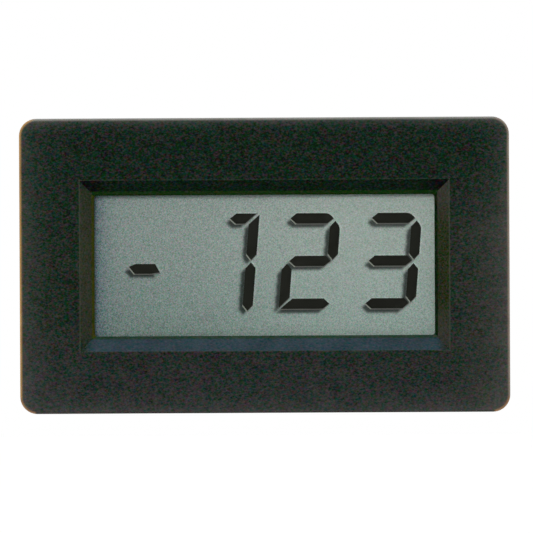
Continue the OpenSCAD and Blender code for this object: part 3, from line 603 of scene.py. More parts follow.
class METER_OT_stage(MeterOperator, bpy.types.Operator):
    """Sets up the camera, the lamps, the world and the floor"""
    bl_idname = "meter.stage"
    bl_label = "Stage"

    def execute(self, context):
        values = context.scene.meter_stage
        low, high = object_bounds()
        self.camera(context, values, low[1])
        self.world(context, values)
        self.lamp(context, "key_lamp", values.key_power, (1.0, 0.985, 0.95), width=0.44, distance=1.3,
                  height=values.key_height, side=values.key_side)
        self.lamp(context, "sky_lamp", values.sky_power, values.sky_colour, width=0.35, distance=0.6,
                  height=math.radians(88), side=0.0)
        self.floor(values, low[2] - values.floor_drop)
        context.scene.view_settings.view_transform = "Standard"
        return {"FINISHED"}

    def camera(self, context, values, face):
        data = bpy.data.cameras.new("camera")
        data.lens = values.lens
        data.sensor_width = 36.0
        data.clip_start, data.clip_end = 0.05, 20.0
        camera = bpy.data.objects.new("camera", data)
        camera.location = (values.aim_x, face - values.distance, values.aim_z)
        camera.rotation_euler = (math.radians(90), values.roll, 0.0)
        context.scene.collection.objects.link(camera)
        context.scene.camera = camera

    def world(self, context, values):
        """White to the camera, to reflections and through glass, and an even level to everything else."""
        world = bpy.data.worlds.new("world")
        world.use_nodes = True
        nodes = Nodes(world.node_tree)
        seen = nodes.seen_by("Is Transmission Ray", "Is Glossy Ray", "Is Camera Ray")
        background = nodes.tree.nodes["Background"]
        level = nodes.node("ShaderNodeMapRange", inputs={0: seen, 3: values.ambient, 4: 1.0})
        nodes.feed(background.inputs["Strength"], level)
        nodes.feed(background.inputs["Color"], WHITE)
        context.scene.world = world

    def lamp(self, context, name, power, tint, width, distance, height, side):
        data = bpy.data.lights.new(name, "AREA")
        data.energy, data.color, data.size = power, tint, width
        lamp = bpy.data.objects.new(name, data)
        toward = Vector((math.sin(side) * math.cos(height), -math.cos(side) * math.cos(height), math.sin(height)))
        lamp.location = toward * distance
        lamp.rotation_mode = "QUATERNION"
        lamp.rotation_quaternion = toward.to_track_quat("Z", "Y")
        lamp.visible_camera = False
        context.scene.collection.objects.link(lamp)

    def floor(self, values, height):
        """A pale square. To the camera it is lifted to white, so only the meter's shadow shows on it."""
        half = 3.0
        mesh = bpy.data.meshes.new("floor")
        mesh.from_pydata(np.c_[half * SQUARE, np.full(4, height)].tolist(), [], [(0, 1, 2, 3)])
        floor = bpy.data.objects.new("floor", mesh)
        bpy.context.scene.collection.objects.link(floor)
        finish = Finish("floor_paper", Roughness=0.9, Specular_IOR_Level=0.1, Emission_Strength=0.6)
        grain = finish.noise(0.02, 3.0, 0.5)
        finish.set("Base Color", finish.shade(values.floor_colour, 0.985 + 0.03 * grain))
        seen = finish.seen_by("Is Camera Ray", "Is Glossy Ray")
        finish.set("Emission Color", finish.shade(WHITE, seen))
        mesh.materials.append(finish.material)
        floor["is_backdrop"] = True


class METER_OT_housing(MeterOperator, bpy.types.Operator):
    """Finishes the housing: flecked plastic, with painted shade across its face, a painted highlight on its rounded
    edges and painted light and shade on the slopes round the window
    """
    bl_idname = "meter.housing"
    bl_label = "Housing"

    def execute(self, context):
        values = context.scene.meter_housing
        low, high = span("housing")
        face = low[1]
        finish = Finish("housing_plastic", Specular_IOR_Level=0.025)
        x, y, z = place = finish.parts(finish.place())
        # Painted shade across the face: darker towards the top, paler towards the bottom and the right.
        colour = finish.mix(z.ramp(-16 * MM, -4 * MM), values.face_bottom, values.face_middle)
        colour = finish.mix(z.ramp(2 * MM, 15 * MM), colour, values.face_top)
        right = x.ramp(20 * MM, high[0]) * z.ramp(16 * MM, 2 * MM)
        colour = finish.mix(right, colour, values.face_right)
        colour = finish.mix(y.ramp(face + 0.6 * MM, face + 1.2 * MM), colour, values.body)
        colour = self.glow(finish, values, colour, place, low, high)
        colour = self.window(finish, values, colour, place, face)
        colour = self.edges(finish, values, colour, place, face, high)
        fleck = finish.noise(values.fleck_size, 2.0, 0.6, stretch=(0.95, 1.0, 1.5))
        cloud = finish.noise(values.fleck_size * 12, 2.0, 0.5)
        colour = finish.shade(colour, 1.0 + 0.6 * (cloud - 0.5))
        colour = finish.speckled(colour, fleck, values.fleck_size * 1.6, values.fleck_depth)
        finish.set("Base Color", colour)
        finish.set("Roughness", values.roughness + 0.3 * (fleck - 0.5))
        finish.bump(fleck, 0.35, 0.03 * MM)
        finish.cover("housing")
        return {"FINISHED"}

    def glow(self, finish, values, colour, place, low, high):
        """Painted glow: a paler tone beside each edge of the face. It falls as a power of e with the distance from the
        edge.
        """
        x, y, z = place
        inwards = (high[2] - z, z - low[2], x - low[0], high[0] - x)
        level = 0.0
        for away, depth, reach in zip(inwards, values.glow, values.glow_reach):
            level = level + depth * (away / -reach).exp()
        on_face = y < low[1] + 0.5 * MM
        return finish.vector("ADD", colour, finish.shade(values.glow_tint, level * on_face))

    def window(self, finish, values, colour, place, face):
        """Painted light and shade on the four slopes by the way that they face and on the steep inner lip, then the
        line along the slopes' rim.
        """
        x, y, z = place
        nx, ny, nz = finish.facing()
        hair, line = 0.02 * MM, 0.16 * MM
        slope_depth, window_depth = 1.8 * MM, 2.5 * MM
        rim_x, rim_z, view_z = 24.53 * MM, 11.37 * MM, 9.35 * MM
        inside = (abs(x) < rim_x) * (abs(z) < rim_z + hair) * (y < face + window_depth)
        sunk = inside * (y > face + hair)
        slopes = [
            # its way, along it, where its ends' colour starts and is full, its colour, its ends' colour
            (-nz, x, (20.5 * MM, 23.5 * MM), values.slope_top, values.slope_end),
            (nz, x, (22.4 * MM, 24.4 * MM), values.slope_bottom, values.slope_left_end),
            (nx, z, (8.5 * MM, 11 * MM), values.slope_left, values.slope_left_end),
            (-nx, z, (4 * MM, 9 * MM), values.slope_right, values.slope_right_end),
        ]
        # Painted light and shade by the way each slope faces.
        for way, along, ends, tint, end_tint in slopes:
            tint = finish.mix(abs(along).ramp(*ends), tint, end_tint)
            colour = finish.mix(sunk * way.ramp(*TILTED), colour, tint)
        deep = sunk * (y > face + slope_depth + 0.03 * MM)
        below_view = z.ramp(view_z + 0.58 * MM, view_z + 0.5 * MM)
        # Painted light and shade on the inner lip by the way it faces, with a painted shaded band at the top.
        lips = [(deep, values.lip_dark), (deep * nz.ramp(*TILTED), values.lip_low),
                (deep * nx.ramp(*TILTED), values.lip_lit), (sunk * (-nz).ramp(*TILTED) * below_view, values.lip_shaded_top)]
        for where, tint in lips:
            colour = finish.mix(where, colour, tint)
        # A thin paler line along the slopes' rim, stronger at the sides than at the top and bottom.
        beside = abs(abs(x) - rim_x).ramp(line, 0.0) * (abs(z) < rim_z + line / 2)
        above = abs(abs(z) - rim_z).ramp(line, 0.0) * (abs(x) < rim_x + line / 2)
        bright = (0.55 * beside).most(0.2 * above)
        return finish.mix((y < face + 0.25 * MM) * bright, colour, values.rim_line)

    def edges(self, finish, values, colour, place, face, high):
        """Painted highlight, paler than the plastic, where the front edge is rounded: the square of how far a point is
        into the edge's reach.

        Its distance from the outline comes from the flange's half width and height, less the corners' radius.
        """
        x, y, z = place
        reach, radius = 0.46 * MM, 2.3 * MM
        past_x, past_z = abs(x) - (high[0] - radius), abs(z) - (high[2] - radius)
        corner = past_x.most(0.0) * past_z.most(0.0)
        out = (past_x.most(0.0) ** 2.0 + past_z.most(0.0) ** 2.0) ** 0.5
        out = out + past_x.most(past_z).least(0.0) - radius
        into = (out / reach + 1.0).most(0.0).least(1.0)
        near_side = (high[0] - radius, high[0] - 0.5 * radius)
        near_bottom = (high[2] - 0.5 * radius, high[2] - 0.2 * radius)
        near_corner = (0.1 * MM * MM, 1.0 * MM * MM)
        # Painted highlight on the rounded front edge: warm at the left, pale at the top.
        tint = finish.mix((-x).ramp(*near_side), values.edge_pale, values.edge_warm)
        tint = finish.mix(x.ramp(*near_side), tint, values.edge_right)
        tint = finish.mix((-z).ramp(*near_bottom), tint, values.edge_low)
        tint = finish.mix(corner.ramp(*near_corner) * (z < 0.0), tint, values.edge_corner)
        on_front = y.ramp(face + 0.32 * MM, face + 0.24 * MM)
        return finish.mix(into * into * on_front, colour, tint)


class METER_OT_display(MeterOperator, bpy.types.Operator):
    """Finishes the layers of the display: films, glass, seal, reflector, contact strips and their frame"""
    bl_idname = "meter.display"
    bl_label = "Display layers"

    def execute(self, context):
        values, parts = context.scene.meter_display, context.scene.meter_parts
        film = Finish("polariser_film", Base_Color=BLACK, Specular_IOR_Level=0.0)
        frost = film.noise(0.08 * MM, 2.0, 0.5)
        film.set("Roughness", 0.34 + 0.12 * (frost - 0.5))
        film.set("Alpha", 0.05 + 0.02 * (frost - 0.5))
        film.cover("front_polariser")
        glass = Finish("display_glass", Base_Color=BLACK, Specular_IOR_Level=0.0)
        ripple = glass.noise(4 * MM, 1.0, 0.5)
        glass.set("Roughness", 0.04 + 0.03 * ripple)
        glass.set("Alpha", 0.03 + 0.02 * ripple)
        glass.cover("rear_glass")
        self.front_glass(glass)
        plain_finish("seal_resin", values.seal, 0.5, 0.2).cover("cell_seal")
        plain_finish("reflector_film", values.reflector, 0.45, 0.12, metallic=0.35).cover("reflector")
        plain_finish("frame_plastic", parts.frame, 0.55, 0.25, specular=0.3).cover("strip_frame")
        self.strips(parts).cover("top_contact_strip", "bottom_contact_strip")
        return {"FINISHED"}

    def front_glass(self, finish):
        """A plate with its edges ground at 45 degrees, a hair thinner than the gap between the film and the segments.

        It is four rectangles one behind the other. The outer two are smaller by the ground edge's width.
        """
        low, high = span("front_glass")
        slack, ground = 0.003 * MM, 0.12 * MM
        depth = np.array([low[1] + slack, low[1] + slack + ground, high[1] - slack - ground, high[1] - slack])
        half = (high - low)[[0, 2]] / 2 - np.array([ground, 0.0, 0.0, ground])[:, None]
        flat = middle("front_glass")[[0, 2]] + half[:, None, :] * SQUARE
        points = in_space(flat, depth[:, None])
        faces = np.concatenate([grid_faces(4, 4, False, True), [[3, 2, 1, 0], [12, 13, 14, 15]]])
        plate = make_piece("front_glass_plate", points, faces, finish)
        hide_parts("front_glass")

    def strips(self, parts):
        """Rubber in layers across the strip's length: dark conducting ones between pale ones."""
        finish = Finish("contact_rubber", Specular_IOR_Level=0.25, Roughness=0.7)
        x, y, z = finish.parts(finish.place())
        layer = 0.24 * MM
        tint = finish.mix(x.wave(layer).ramp(-0.1, 0.5), parts.rubber, parts.rubber_pale)
        grain = finish.noise(0.15 * MM)
        finish.set("Base Color", finish.shade(tint, 0.9 + 0.2 * grain))
        finish.bump(grain, 0.2)
        return finish


class METER_OT_figures(MeterOperator, bpy.types.Operator):
    """Makes the ground behind the figures, with the figures' painted soft shadows, and the painted light rims under the
    segments
    """
    bl_idname = "meter.figures"
    bl_label = "Figures and ground"

    def execute(self, context):
        values = context.scene.meter_display
        plain_finish("dark_segment", values.figure, 0.8, 0.3, depth=0.06, specular=0.01, bump=0.05).cover(*FIGURES)
        self.rims(values)
        self.ground(values)
        return {"FINISHED"}

    def rims(self, values):
        """A thin plate of painted highlight outside each segment edge that looks down or down and left.

        Each edge moves out along its normal by the rim's width, times how far the normal looks down,
        and two neighbours meet where their moved lines cross. The inner side is tucked under the segment
        at its slanting tips, and stands a little off its straight edges.
        """
        start, end, before, after, _ = front_outline(FIGURES)
        way = end - start
        way /= np.linalg.norm(way, axis=1, keepdims=True)
        normal = np.stack([way[:, 1], -way[:, 0]], axis=1)
        width = values.rim_width * np.clip(1.25 * normal @ DOWN, 0.0, 1.0)
        slant = np.abs(normal[:, 0] * normal[:, 1]) * 2.0
        tuck = np.where(slant > 0.3, -0.03 * MM, 0.035 * MM)
        corner, root = [start + crossing(normal[before], normal, out[before], out) for out in (width, tuck)]
        used = width > 0.03 * MM
        plates = np.stack([root, root[after], corner[after], corner], axis=1)[used]
        tone = np.where(normal[:, 0] < 0, slant, 0.15 * slant)[used]
        back = span("figure_one")[1][1]
        points, faces = prisms(plates, back + 0.0005 * MM, back + 0.0045 * MM)
        finish = Finish("painted_rim_highlight", Specular_IOR_Level=0.04, Roughness=0.5)
        tint = finish.mix(finish.attribute("lit"), values.rim_low, values.rim_lit)
        finish.set("Base Color", finish.shade(tint, 0.93 + 0.14 * finish.noise(0.3 * MM)))
        make_piece("painted_rim_highlights", points, faces, finish, values=("lit", np.repeat(tone, 8)))

    def ground(self, values):
        """A thin sheet in the cell. Its front is a grid, and its back a copy of that grid's edge.

        Painted light at a point is 1, less the segments' cover moved down and left and blurred, a painted shadow,
        plus a little of their cover moved up and right and blurred, a painted halo.
        """
        low, high = span("cell_seal")
        seal, thickness, lift = 1.08 * MM, 0.024 * MM, 0.006 * MM
        shadow_shift, halo_shift, halo_soft = -values.shadow_shift, 0.16 * MM, 0.11 * MM
        columns, rows = [int((high[i] - seal - (low[i] + seal)) / values.cell) for i in (0, 2)]
        x_line = np.linspace(low[0] + seal, high[0] - seal, columns)
        z_line = np.linspace(low[2] + seal, high[2] - seal, rows)
        x, z = np.meshgrid(x_line, z_line)
        cover = covered(x, z, front_outline(FIGURES)[-1])
        cell = (x_line[1] - x_line[0], z_line[1] - z_line[0])
        # Painted shadow of the segments, and a painted halo beside them.
        dark = moved_and_blurred(cover, cell, shadow_shift, values.shadow_soft)
        pale = moved_and_blurred(cover, cell, halo_shift, halo_soft)
        light = 1.0 - values.shadow_depth * dark + values.halo * pale * (1.0 - dark) * (1.0 - cover)
        front = in_space(np.stack([x, z], axis=-1), span("figure_one")[1][1] + lift).reshape(-1, 3)
        index = np.arange(rows * columns).reshape(rows, columns)
        edge = np.concatenate([index[0], index[1:, -1], index[-1, -2::-1], index[-2:0:-1, 0]])
        if len(edge) % 2:
            raise ValueError("the ground's edge has an odd number of points")
        back = front[edge] + [0.0, thickness, 0.0]
        ring = np.arange(len(edge))
        here, after, spare = len(front) + np.stack([ring, np.roll(ring, -1), np.roll(ring, -2)])
        side = np.stack([edge, np.roll(edge, -1), after, here], axis=1)
        centre = np.full(len(edge), len(front) + len(edge))
        fan = np.stack([centre, here, after, spare], axis=1)[::2]
        points = np.concatenate([front, back, [back.mean(axis=0)]])
        faces = np.concatenate([grid_faces(rows, columns), side[:, ::-1], fan[:, ::-1]])
        tone = np.concatenate([light.ravel(), np.ones(len(edge) + 1)])
        finish = self.ground_finish(values)
        make_piece("display_ground", points, faces, finish, values=("light", tone))

    def ground_finish(self, values):
        """Grey blended between four corners as painted shade, darker towards the lower left, with a band of painted
        shade at its left end, and a fine grain.
        """
        finish = Finish("display_ground", Specular_IOR_Level=0.04, Roughness=0.6)
        x, y, z = finish.parts(finish.place())
        up = (-12 * MM, 6 * MM)
        left = finish.mix(z.ramp(*up), values.lower_left, values.upper_left)
        right = finish.mix(z.ramp(*up), values.lower_right, values.upper_right)
        tint = finish.mix(x.ramp(-19 * MM, 15 * MM), left, right)
        # Painted shade at the ground's left end.
        band_x, band_reach = 22.6 * MM, 1.5 * MM
        band = ((x + band_x) / -band_reach).least(0.0).exp()
        tint = finish.mix(0.85 * band, tint, values.left_end)
        grain = finish.noise(values.grain, 2.0, 0.55)
        tint = finish.speckled(tint, grain, values.grain * 1.2, values.grain_depth)
        finish.set("Base Color", finish.shade(tint, finish.attribute("light")))
        return finish


def crossing(first, second, out_first, out_second):
    """From a shared end of two edges to where they cross once moved out. Each edge is given by its normal.

    Two edges that run on as one don't cross, so the second one's move is used.
    """
    turn = first[:, 0] * second[:, 1] - first[:, 1] * second[:, 0]
    straight = np.abs(turn) < 1e-3
    turn = np.where(straight, 1.0, turn)
    x = (out_first * second[:, 1] - out_second * first[:, 1]) / turn
    z = (first[:, 0] * out_second - second[:, 0] * out_first) / turn
    return np.where(straight[:, None], second * out_second[:, None], np.stack([x, z], axis=1))


def covered(x, z, triangles):
    """1 where a point is inside one of the triangles, else 0: it lies on the same side of all three edges."""
    cover = np.zeros(x.shape, dtype=bool)
    for corners in triangles:
        side = np.stack([(b[0] - a[0]) * (z - a[1]) - (b[1] - a[1]) * (x - a[0])
                         for a, b in zip(corners, np.roll(corners, -1, axis=0))])
        cover |= (side >= 0).all(axis=0) | (side <= 0).all(axis=0)
    return cover.astype(float)


def moved_and_blurred(cover, cell, shift, spread):
    """The cover moved up and right by shift and blurred by a bell curve, both done on its waves.

    Each wave is turned by its share of the shift, and fades with the square of its frequency.
    """
    rows, columns = cover.shape
    fz = np.fft.fftfreq(rows, cell[1])[:, None]
    fx = np.fft.fftfreq(columns, cell[0])[None, :]
    turn = np.exp(-2j * math.pi * (fx * shift + fz * shift))
    fade = np.exp(-2.0 * (math.pi * spread) ** 2 * (fx ** 2 + fz ** 2))
    return np.clip(np.fft.ifft2(np.fft.fft2(cover) * turn * fade).real, 0.0, 1.0)


class METER_OT_board(MeterOperator, bpy.types.Operator):
    """Finishes the circuit board, and lays its tracks, pads, solder and printed outlines"""
    bl_idname = "meter.board"
    bl_label = "Circuit board"

    def execute(self, context):
        values = context.scene.meter_board
        self.mask(values, "board_laminate", values.mask).cover("circuit_board")
        self.tracks(values)
        self.pads(values)
        self.outlines(values)
        return {"FINISHED"}

    def mask(self, values, name, tint):
        """Glossy lacquer over glass cloth. The board's cut edges show the bare laminate."""
        finish = Finish(name, Specular_IOR_Level=0.45, Coat_Weight=0.3)
        nx, ny, nz = finish.facing()
        x, y, z = finish.parts(finish.place())
        weave = 0.55 * MM
        cloth = 0.5 + 0.25 * (x.wave(weave) + z.wave(weave))
        cut = abs(ny).ramp(0.6, 0.4)
        broad = finish.noise(3 * MM)
        lacquer = finish.shade(tint, 0.85 + 0.12 * cloth + 0.2 * broad)
        bare = finish.shade(values.core, 0.8 + 0.4 * finish.noise(0.2 * MM, stretch=(1.0, 6.0, 1.0)))
        finish.set("Base Color", finish.mix(cut, lacquer, bare))
        finish.set("Roughness", 0.3 + 0.3 * cut + 0.08 * broad)
        finish.bump(cloth, 0.12)
        return finish

    def tracks(self, values):
        """Tracks from the upper pins to two rows of small pads, and from the lower pins to the parts and wire holes.

        A track runs straight, then at 45 degrees, then straight again. Wider ones share the lower edge.
        """
        upper, lower = pin_places()
        bottom, top = [corner[2] for corner in span("circuit_board")]
        wires, trimmer = wire_places(), trimmer_places()
        first, second = [{name: lead_places(name + "_leads")[end] for name in PAIRS} for end in (0, 1)]
        edge, apart, outward = 1.3 * MM, 0.9 * MM, 0.9 * MM
        rows = top - edge - apart * (np.arange(PINS) % 2)
        self.ends = np.stack([upper[:, 0] + outward * np.sign(upper[:, 0]), rows], axis=1)
        paths = [dog_leg(start, end, 1.6 * MM) for start, end in zip(upper, self.ends)]
        drops = [(3, first["reference_resistor"]), (6, second["reference_resistor"]), (7, first["input_resistor"]),
                 (9, second["input_resistor"]), (11, first["reference_capacitor"]),
                 (12, second["reference_capacitor"]), (14, first["integrating_capacitor"]),
                 (16, second["integrating_capacitor"])]
        paths += [dog_leg(lower[pin], end, 0.5 * MM) for pin, end in drops]
        to_rim = [0.0, 0.7 * MM]
        over, under = wires + to_rim, wires - to_rim
        supply, signal, bend = bottom + 1.2 * MM, bottom + 2.6 * MM, 0.8 * MM
        disc, zero = second["disc_capacitor"], second["zeroing_capacitor"]
        paths += [
            dog_leg(lower[2], over[4], 3.0 * MM),
            dog_leg(lower[18], trimmer[2], 1.5 * MM),
            dog_leg(over[2], first["reference_resistor"], 0.4 * MM),
            dog_leg(over[1], second["reference_resistor"] - [1.2 * MM, 0.0], 0.2 * MM),
            [(wires[0][0] + 0.6 * MM, first["clock_resistor"][1]), first["clock_resistor"]],
            [second["input_resistor"], second["clock_resistor"]],
            [zero, (trimmer[0][0], zero[1])],
            [under[3], (wires[3][0], signal + bend), (wires[3][0] + bend, signal),
             (disc[0] - bend, signal), (disc[0], signal + bend), disc],
            [lower[0], lower[0] - [0.0, 4.4 * MM]],
        ]
        self.ends = np.concatenate([self.ends, [paths[-1][1]]])
        wide = [
            dog_leg(lower[1], (lower[1][0] - 0.7 * MM, supply), 5.5 * MM),
            [under[4], (wires[4][0], supply)],
            [first["zeroing_capacitor"], (first["zeroing_capacitor"][0], supply)],
            [trimmer[1], (trimmer[1][0], supply)],
        ]
        shared = [[(lower[1][0] - 1.1 * MM, supply), (trimmer[1][0] + 0.4 * MM, supply)]]
        low, high = board_back() - 0.02 * MM, board_back() + values.track_height
        broad = 2.6 * values.track_width
        points, faces = joined([strips(paths, values.track_width, low, high), strips(wide, broad, low, high),
                                strips(shared, broad, low, high + 0.01 * MM)])
        make_piece("tracks", points, faces, self.mask(values, "masked_track", values.mask_track))

    def pads(self, values):
        """Flat tinned rings round the holes, and hollow cones of solder round the leads that fill them."""
        pins = np.concatenate(pin_places())
        leads = [place for name in PAIRS for place in lead_places(name + "_leads")] + trimmer_places()
        reach, foot, height = values.pad_reach, -0.02 * MM, 0.05 * MM
        holes = [(pins, 0.45 * MM), (leads, 0.45 * MM), (wire_places(), 0.5 * MM)]
        made = [turned_rings(on_back(places), washer(hole, hole + reach, foot, height), 20) for places, hole in holes]
        made.append(turned_rings(on_back(self.ends), washer(0.15 * MM, 0.4 * MM, 0.0, height), 16))
        points, faces = joined(made)
        tin = plain_finish("tinned_pad", values.tin, 0.32, 0.2, metallic=0.9, depth=0.1)
        make_piece("pads", points, faces, tin)
        cones = [(pins, self.cone(0.2 * MM, 0.78 * MM, 0.36 * MM)), (leads, self.cone(0.251 * MM, 0.74 * MM, 0.5 * MM))]
        points, faces = joined([turned_rings(on_back(places), cone, 20) for places, cone in cones])
        solder = plain_finish("solder", values.tin, 0.22, 0.35, metallic=0.85, depth=0.12, bump=0.25)
        make_piece("solder_joints", points, faces, solder, smooth=True)

    def cone(self, inner, outer, height):
        """A hollow cone's section: its outside falls as (1 - t) to the power 2.2 while t goes from lead to rim."""
        t = np.linspace(0.0, 1.0, 8)
        outside = np.stack([inner + (outer - inner) * t, 0.05 * MM + height * (1.0 - t) ** 2.2], axis=1)
        foot = np.array([[outer, 0.03 * MM], [inner, 0.03 * MM]])
        return np.concatenate([outside, foot])

    def outlines(self, values):
        """Printed lines: a frame round each part, carried along its outline."""
        wide, middling, narrow = 0.35 * MM, 0.3 * MM, 0.25 * MM
        gaps = [("trimmer_body", wide), *[(name, narrow) for name in CAPACITORS],
                *[(name, middling) for name in RESISTORS], ("chip_body", wide)]
        frames = []
        for name, gap in gaps:
            low, high = span(name)
            tuck = 0.2 * MM if name == "chip_body" else 0.0
            frames.append(rectangle_path(low[0] - gap, high[0] + gap, low[2] - gap + tuck, high[2] + gap - tuck))
        points, faces = ribbons(frames, values.silk_width, board_back() + 0.004 * MM, board_back() + 0.03 * MM)
        finish = plain_finish("silk_line", values.silk, 0.6, 0.3, depth=0.1)
        make_piece("printed_outlines", points, faces, finish)


def washer(inner, outer, low, high):
    """A flat ring's section."""
    return [(inner, low), (outer, low), (outer, high), (inner, high)]


def dog_leg(start, end, straight):
    """A track from start to end: straight up or down for that length, then at 45 degrees, then straight again."""
    (x, z), (x_end, z_end) = start, end
    way = math.copysign(1.0, z_end - z)
    aside = abs(x_end - x)
    if aside < 0.05 * MM:
        return [(x, z), (x, z_end)]
    return [(x, z), (x, z + way * straight), (x_end, z + way * (straight + aside)), (x_end, z_end)]


def strips(paths, width, low, high):
    """Flat strips along paths of different numbers of points: those of a like number are worked together."""
    counts = sorted({len(path) for path in paths})
    return joined([ribbons([path for path in paths if len(path) == count], width, low, high) for count in counts])


def joined(sets):
    """Several (points, faces) as one."""
    points, faces, start = [], [], 0
    for some_points, some_faces in sets:
        points.append(some_points)
        faces.append(some_faces + start)
        start += len(some_points)
    return np.concatenate(points), np.concatenate(faces)


class METER_OT_parts(MeterOperator, bpy.types.Operator):
    """Finishes the chip, the trimmer, the capacitors, the resistors and all their leads"""
    bl_idname = "meter.parts"
    bl_label = "Small parts"

    def execute(self, context):
        values = context.scene.meter_parts
        tin = context.scene.meter_board.tin
        self.chip(values).cover("chip_body")
        wire = plain_finish("tinned_wire", tin, 0.3, 0.12, metallic=0.9, depth=0.1, bump=0.1)
        wire.cover("chip_pins", "trimmer_leads", *[name + "_leads" for name in PAIRS])
        plain_finish("trimmer_plastic", values.trimmer, 0.38, 0.2, depth=0.1).cover("trimmer_body")
        plain_finish("rotor_plastic", values.rotor, 0.4, 0.3, depth=0.06).cover("trimmer_rotor")
        self.film_box(values).cover(*CAPACITORS)
        plain_finish("disc_coating", values.disc, 0.3, 0.5, depth=0.22, bump=0.6, coat=0.2).cover("disc_capacitor")
        plain_finish("resistor_coating", values.resistor, 0.4, 0.4, depth=0.12, bump=0.3).cover(*RESISTORS)
        self.bands()
        return {"FINISHED"}

    def chip(self, values):
        """Matt moulded resin, with the fine line where the mould's halves met, and polished marks sunk in its top."""
        finish = Finish("chip_resin", Specular_IOR_Level=0.35)
        centre, back = middle("chip_body"), span("chip_body")[1][1]
        x, y, z = finish.parts(finish.place())
        sand = finish.noise(0.12 * MM, 3.0, 0.6)
        cloud = finish.noise(2.5 * MM)
        seam = abs(y - centre[1]).ramp(0.12 * MM, 0.02 * MM)
        sunk = (y < back - 0.1 * MM) * abs(z - centre[2]).ramp(6.6 * MM, 6.5 * MM)
        level = 1.0 + 0.5 * (sand - 0.5) + 0.3 * (cloud - 0.5) + 0.5 * seam
        finish.set("Base Color", finish.shade(values.chip, level))
        finish.set("Roughness", 0.62 - 0.25 * sunk + 0.1 * (sand - 0.5))
        finish.bump(sand, 0.3)
        return finish

    def film_box(self, values):
        """A glossy moulded box that turns matt and darker at its potted foot."""
        finish = Finish("capacitor_box", Specular_IOR_Level=0.45, Coat_Weight=0.15)
        x, y, z = finish.parts(finish.place())
        foot = y.ramp(board_back() + 1.0 * MM, board_back() + 0.6 * MM)
        fine = finish.noise(0.25 * MM)
        level = (1.0 + 0.2 * (fine - 0.5)) * (1.0 - 0.35 * foot)
        finish.set("Base Color", finish.shade(values.film_box, level))
        finish.set("Roughness", 0.28 + 0.3 * foot + 0.1 * (fine - 0.5))
        finish.bump(fine, 0.12)
        return finish

    def bands(self):
        """Colour bands: short sleeves round each resistor. A point is the axis, plus radius times cosine and sine."""
        brown, black, orange, gold = (96, 52, 28), (22, 22, 24), (204, 92, 30), (176, 140, 60)
        red, violet, yellow = (186, 40, 34), (128, 60, 150), (214, 178, 40)
        tints = [(brown, black, yellow, gold), (brown, black, orange, gold), (red, violet, orange, gold)]
        finish = Finish("resistor_band", Specular_IOR_Level=0.45, Roughness=0.38)
        tint = finish.attribute("band", "Color")
        finish.set("Base Color", finish.shade(tint, 0.92 + 0.16 * finish.noise(0.3 * MM)))
        sides, width, waist = 28, 0.36 * MM, 0.86
        turn = np.linspace(0.0, 2.0 * math.pi, sides, endpoint=False)[:, None]
        section = np.array([(-0.5, -0.02), (0.5, -0.02), (0.5, 0.02), (0.44, 0.035), (-0.44, 0.035), (-0.5, 0.02)])
        along, out = section.T
        for name, colours in zip(RESISTORS, tints):
            low, high = span(name)
            axis = (low + high) / 2
            centre = axis[0] + np.array([-0.66, -0.18, 0.3, 0.78]) * MM
            x = centre[:, None, None] + along * width
            radius = (high[2] - low[2]) / 2 * waist + out * MM
            y, z = axis[1] + np.cos(turn) * radius, axis[2] + np.sin(turn) * radius
            points = np.stack(np.broadcast_arrays(x, y, z), axis=-1)
            faces = repeated(grid_faces(sides, len(section), True, True), len(colours), sides * len(section))
            shades = np.repeat([(*linear(*steps), 1.0) for steps in colours], sides * len(section), axis=0)
            make_piece(name + "_bands", points, faces, finish, smooth=True, values=("band", shades))


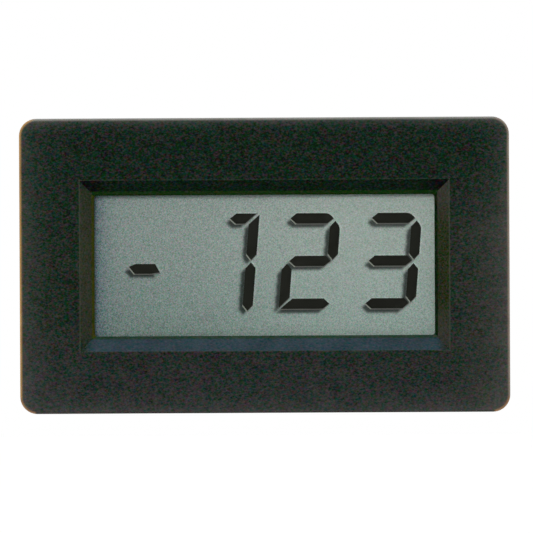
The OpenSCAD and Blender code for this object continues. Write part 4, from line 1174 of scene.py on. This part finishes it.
class METER_OT_fittings(MeterOperator, bpy.types.Operator):
    """Finishes the screws and the two panel clips"""
    bl_idname = "meter.fittings"
    bl_label = "Screws and clips"

    def execute(self, context):
        values = context.scene.meter_parts
        self.steel(values).cover("board_screws")
        clip = plain_finish("clip_plastic", values.clip, 0.5, 0.3, depth=0.25, bump=0.3, specular=0.15)
        clip.cover("left_clip", "right_clip")
        return {"FINISHED"}

    def steel(self, values):
        """Plated steel with fine turned rings round each screw's axis. The cross recess is dull, and darkened with dirt
        and painted shade.
        """
        finish = Finish("screw_steel", Metallic=0.95, Specular_IOR_Level=0.4)
        high, head = span("board_screws")[1], 1.5 * MM
        x, y, z = finish.parts(finish.place())
        across, up = abs(x) - (high[0] - head), abs(z) - (high[2] - head)
        radius = (across * across + up * up) ** 0.5
        rings = radius.wave(0.11 * MM)
        recess = (y < high[1] - 0.12 * MM) * (radius < 1.0 * MM)
        fine = finish.noise(0.15 * MM, 3.0, 0.6)
        # The recess is darkened by dirt and painted shade.
        level = (0.95 + 0.2 * (fine - 0.5) + 0.04 * rings) * (1.0 - 0.78 * recess)
        finish.set("Base Color", finish.shade(values.screw, level))
        finish.set("Roughness", 0.3 + 0.3 * recess + 0.15 * (fine - 0.5))
        finish.bump(fine + 0.3 * rings, 0.1)
        return finish


STEPS = [METER_OT_stage, METER_OT_housing, METER_OT_display, METER_OT_figures, METER_OT_board, METER_OT_parts,
         METER_OT_fittings]


class METER_PT_panel(bpy.types.Panel):
    """Lists the steps that dress the meter"""
    bl_label = "Panel meter"
    bl_idname = "METER_PT_panel"
    bl_space_type = "VIEW_3D"
    bl_region_type = "UI"
    bl_category = "Meter"

    def draw(self, context):
        for step in STEPS:
            self.layout.operator(step.bl_idname)
        for label in GROUPS:
            box = self.layout.box()
            group = getattr(context.scene, label)
            for name in group.bl_rna.properties.keys():
                if name not in ("rna_type", "name"):
                    box.prop(group, name)


def register():
    for group in GROUPS.values():
        bpy.utils.register_class(group)
    for label, group in GROUPS.items():
        setattr(bpy.types.Scene, label, bpy.props.PointerProperty(type=group))
    for step in STEPS:
        bpy.utils.register_class(step)
    bpy.utils.register_class(METER_PT_panel)


def unregister():
    bpy.utils.unregister_class(METER_PT_panel)
    for step in reversed(STEPS):
        bpy.utils.unregister_class(step)
    for label in GROUPS:
        delattr(bpy.types.Scene, label)
    for group in reversed(list(GROUPS.values())):
        bpy.utils.unregister_class(group)


def main():
    """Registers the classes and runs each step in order."""
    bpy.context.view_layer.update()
    register()
    for step in STEPS:
        family, name = step.bl_idname.split(".")
        getattr(getattr(bpy.ops, family), name)()


if __name__ == "__main__":
    main()
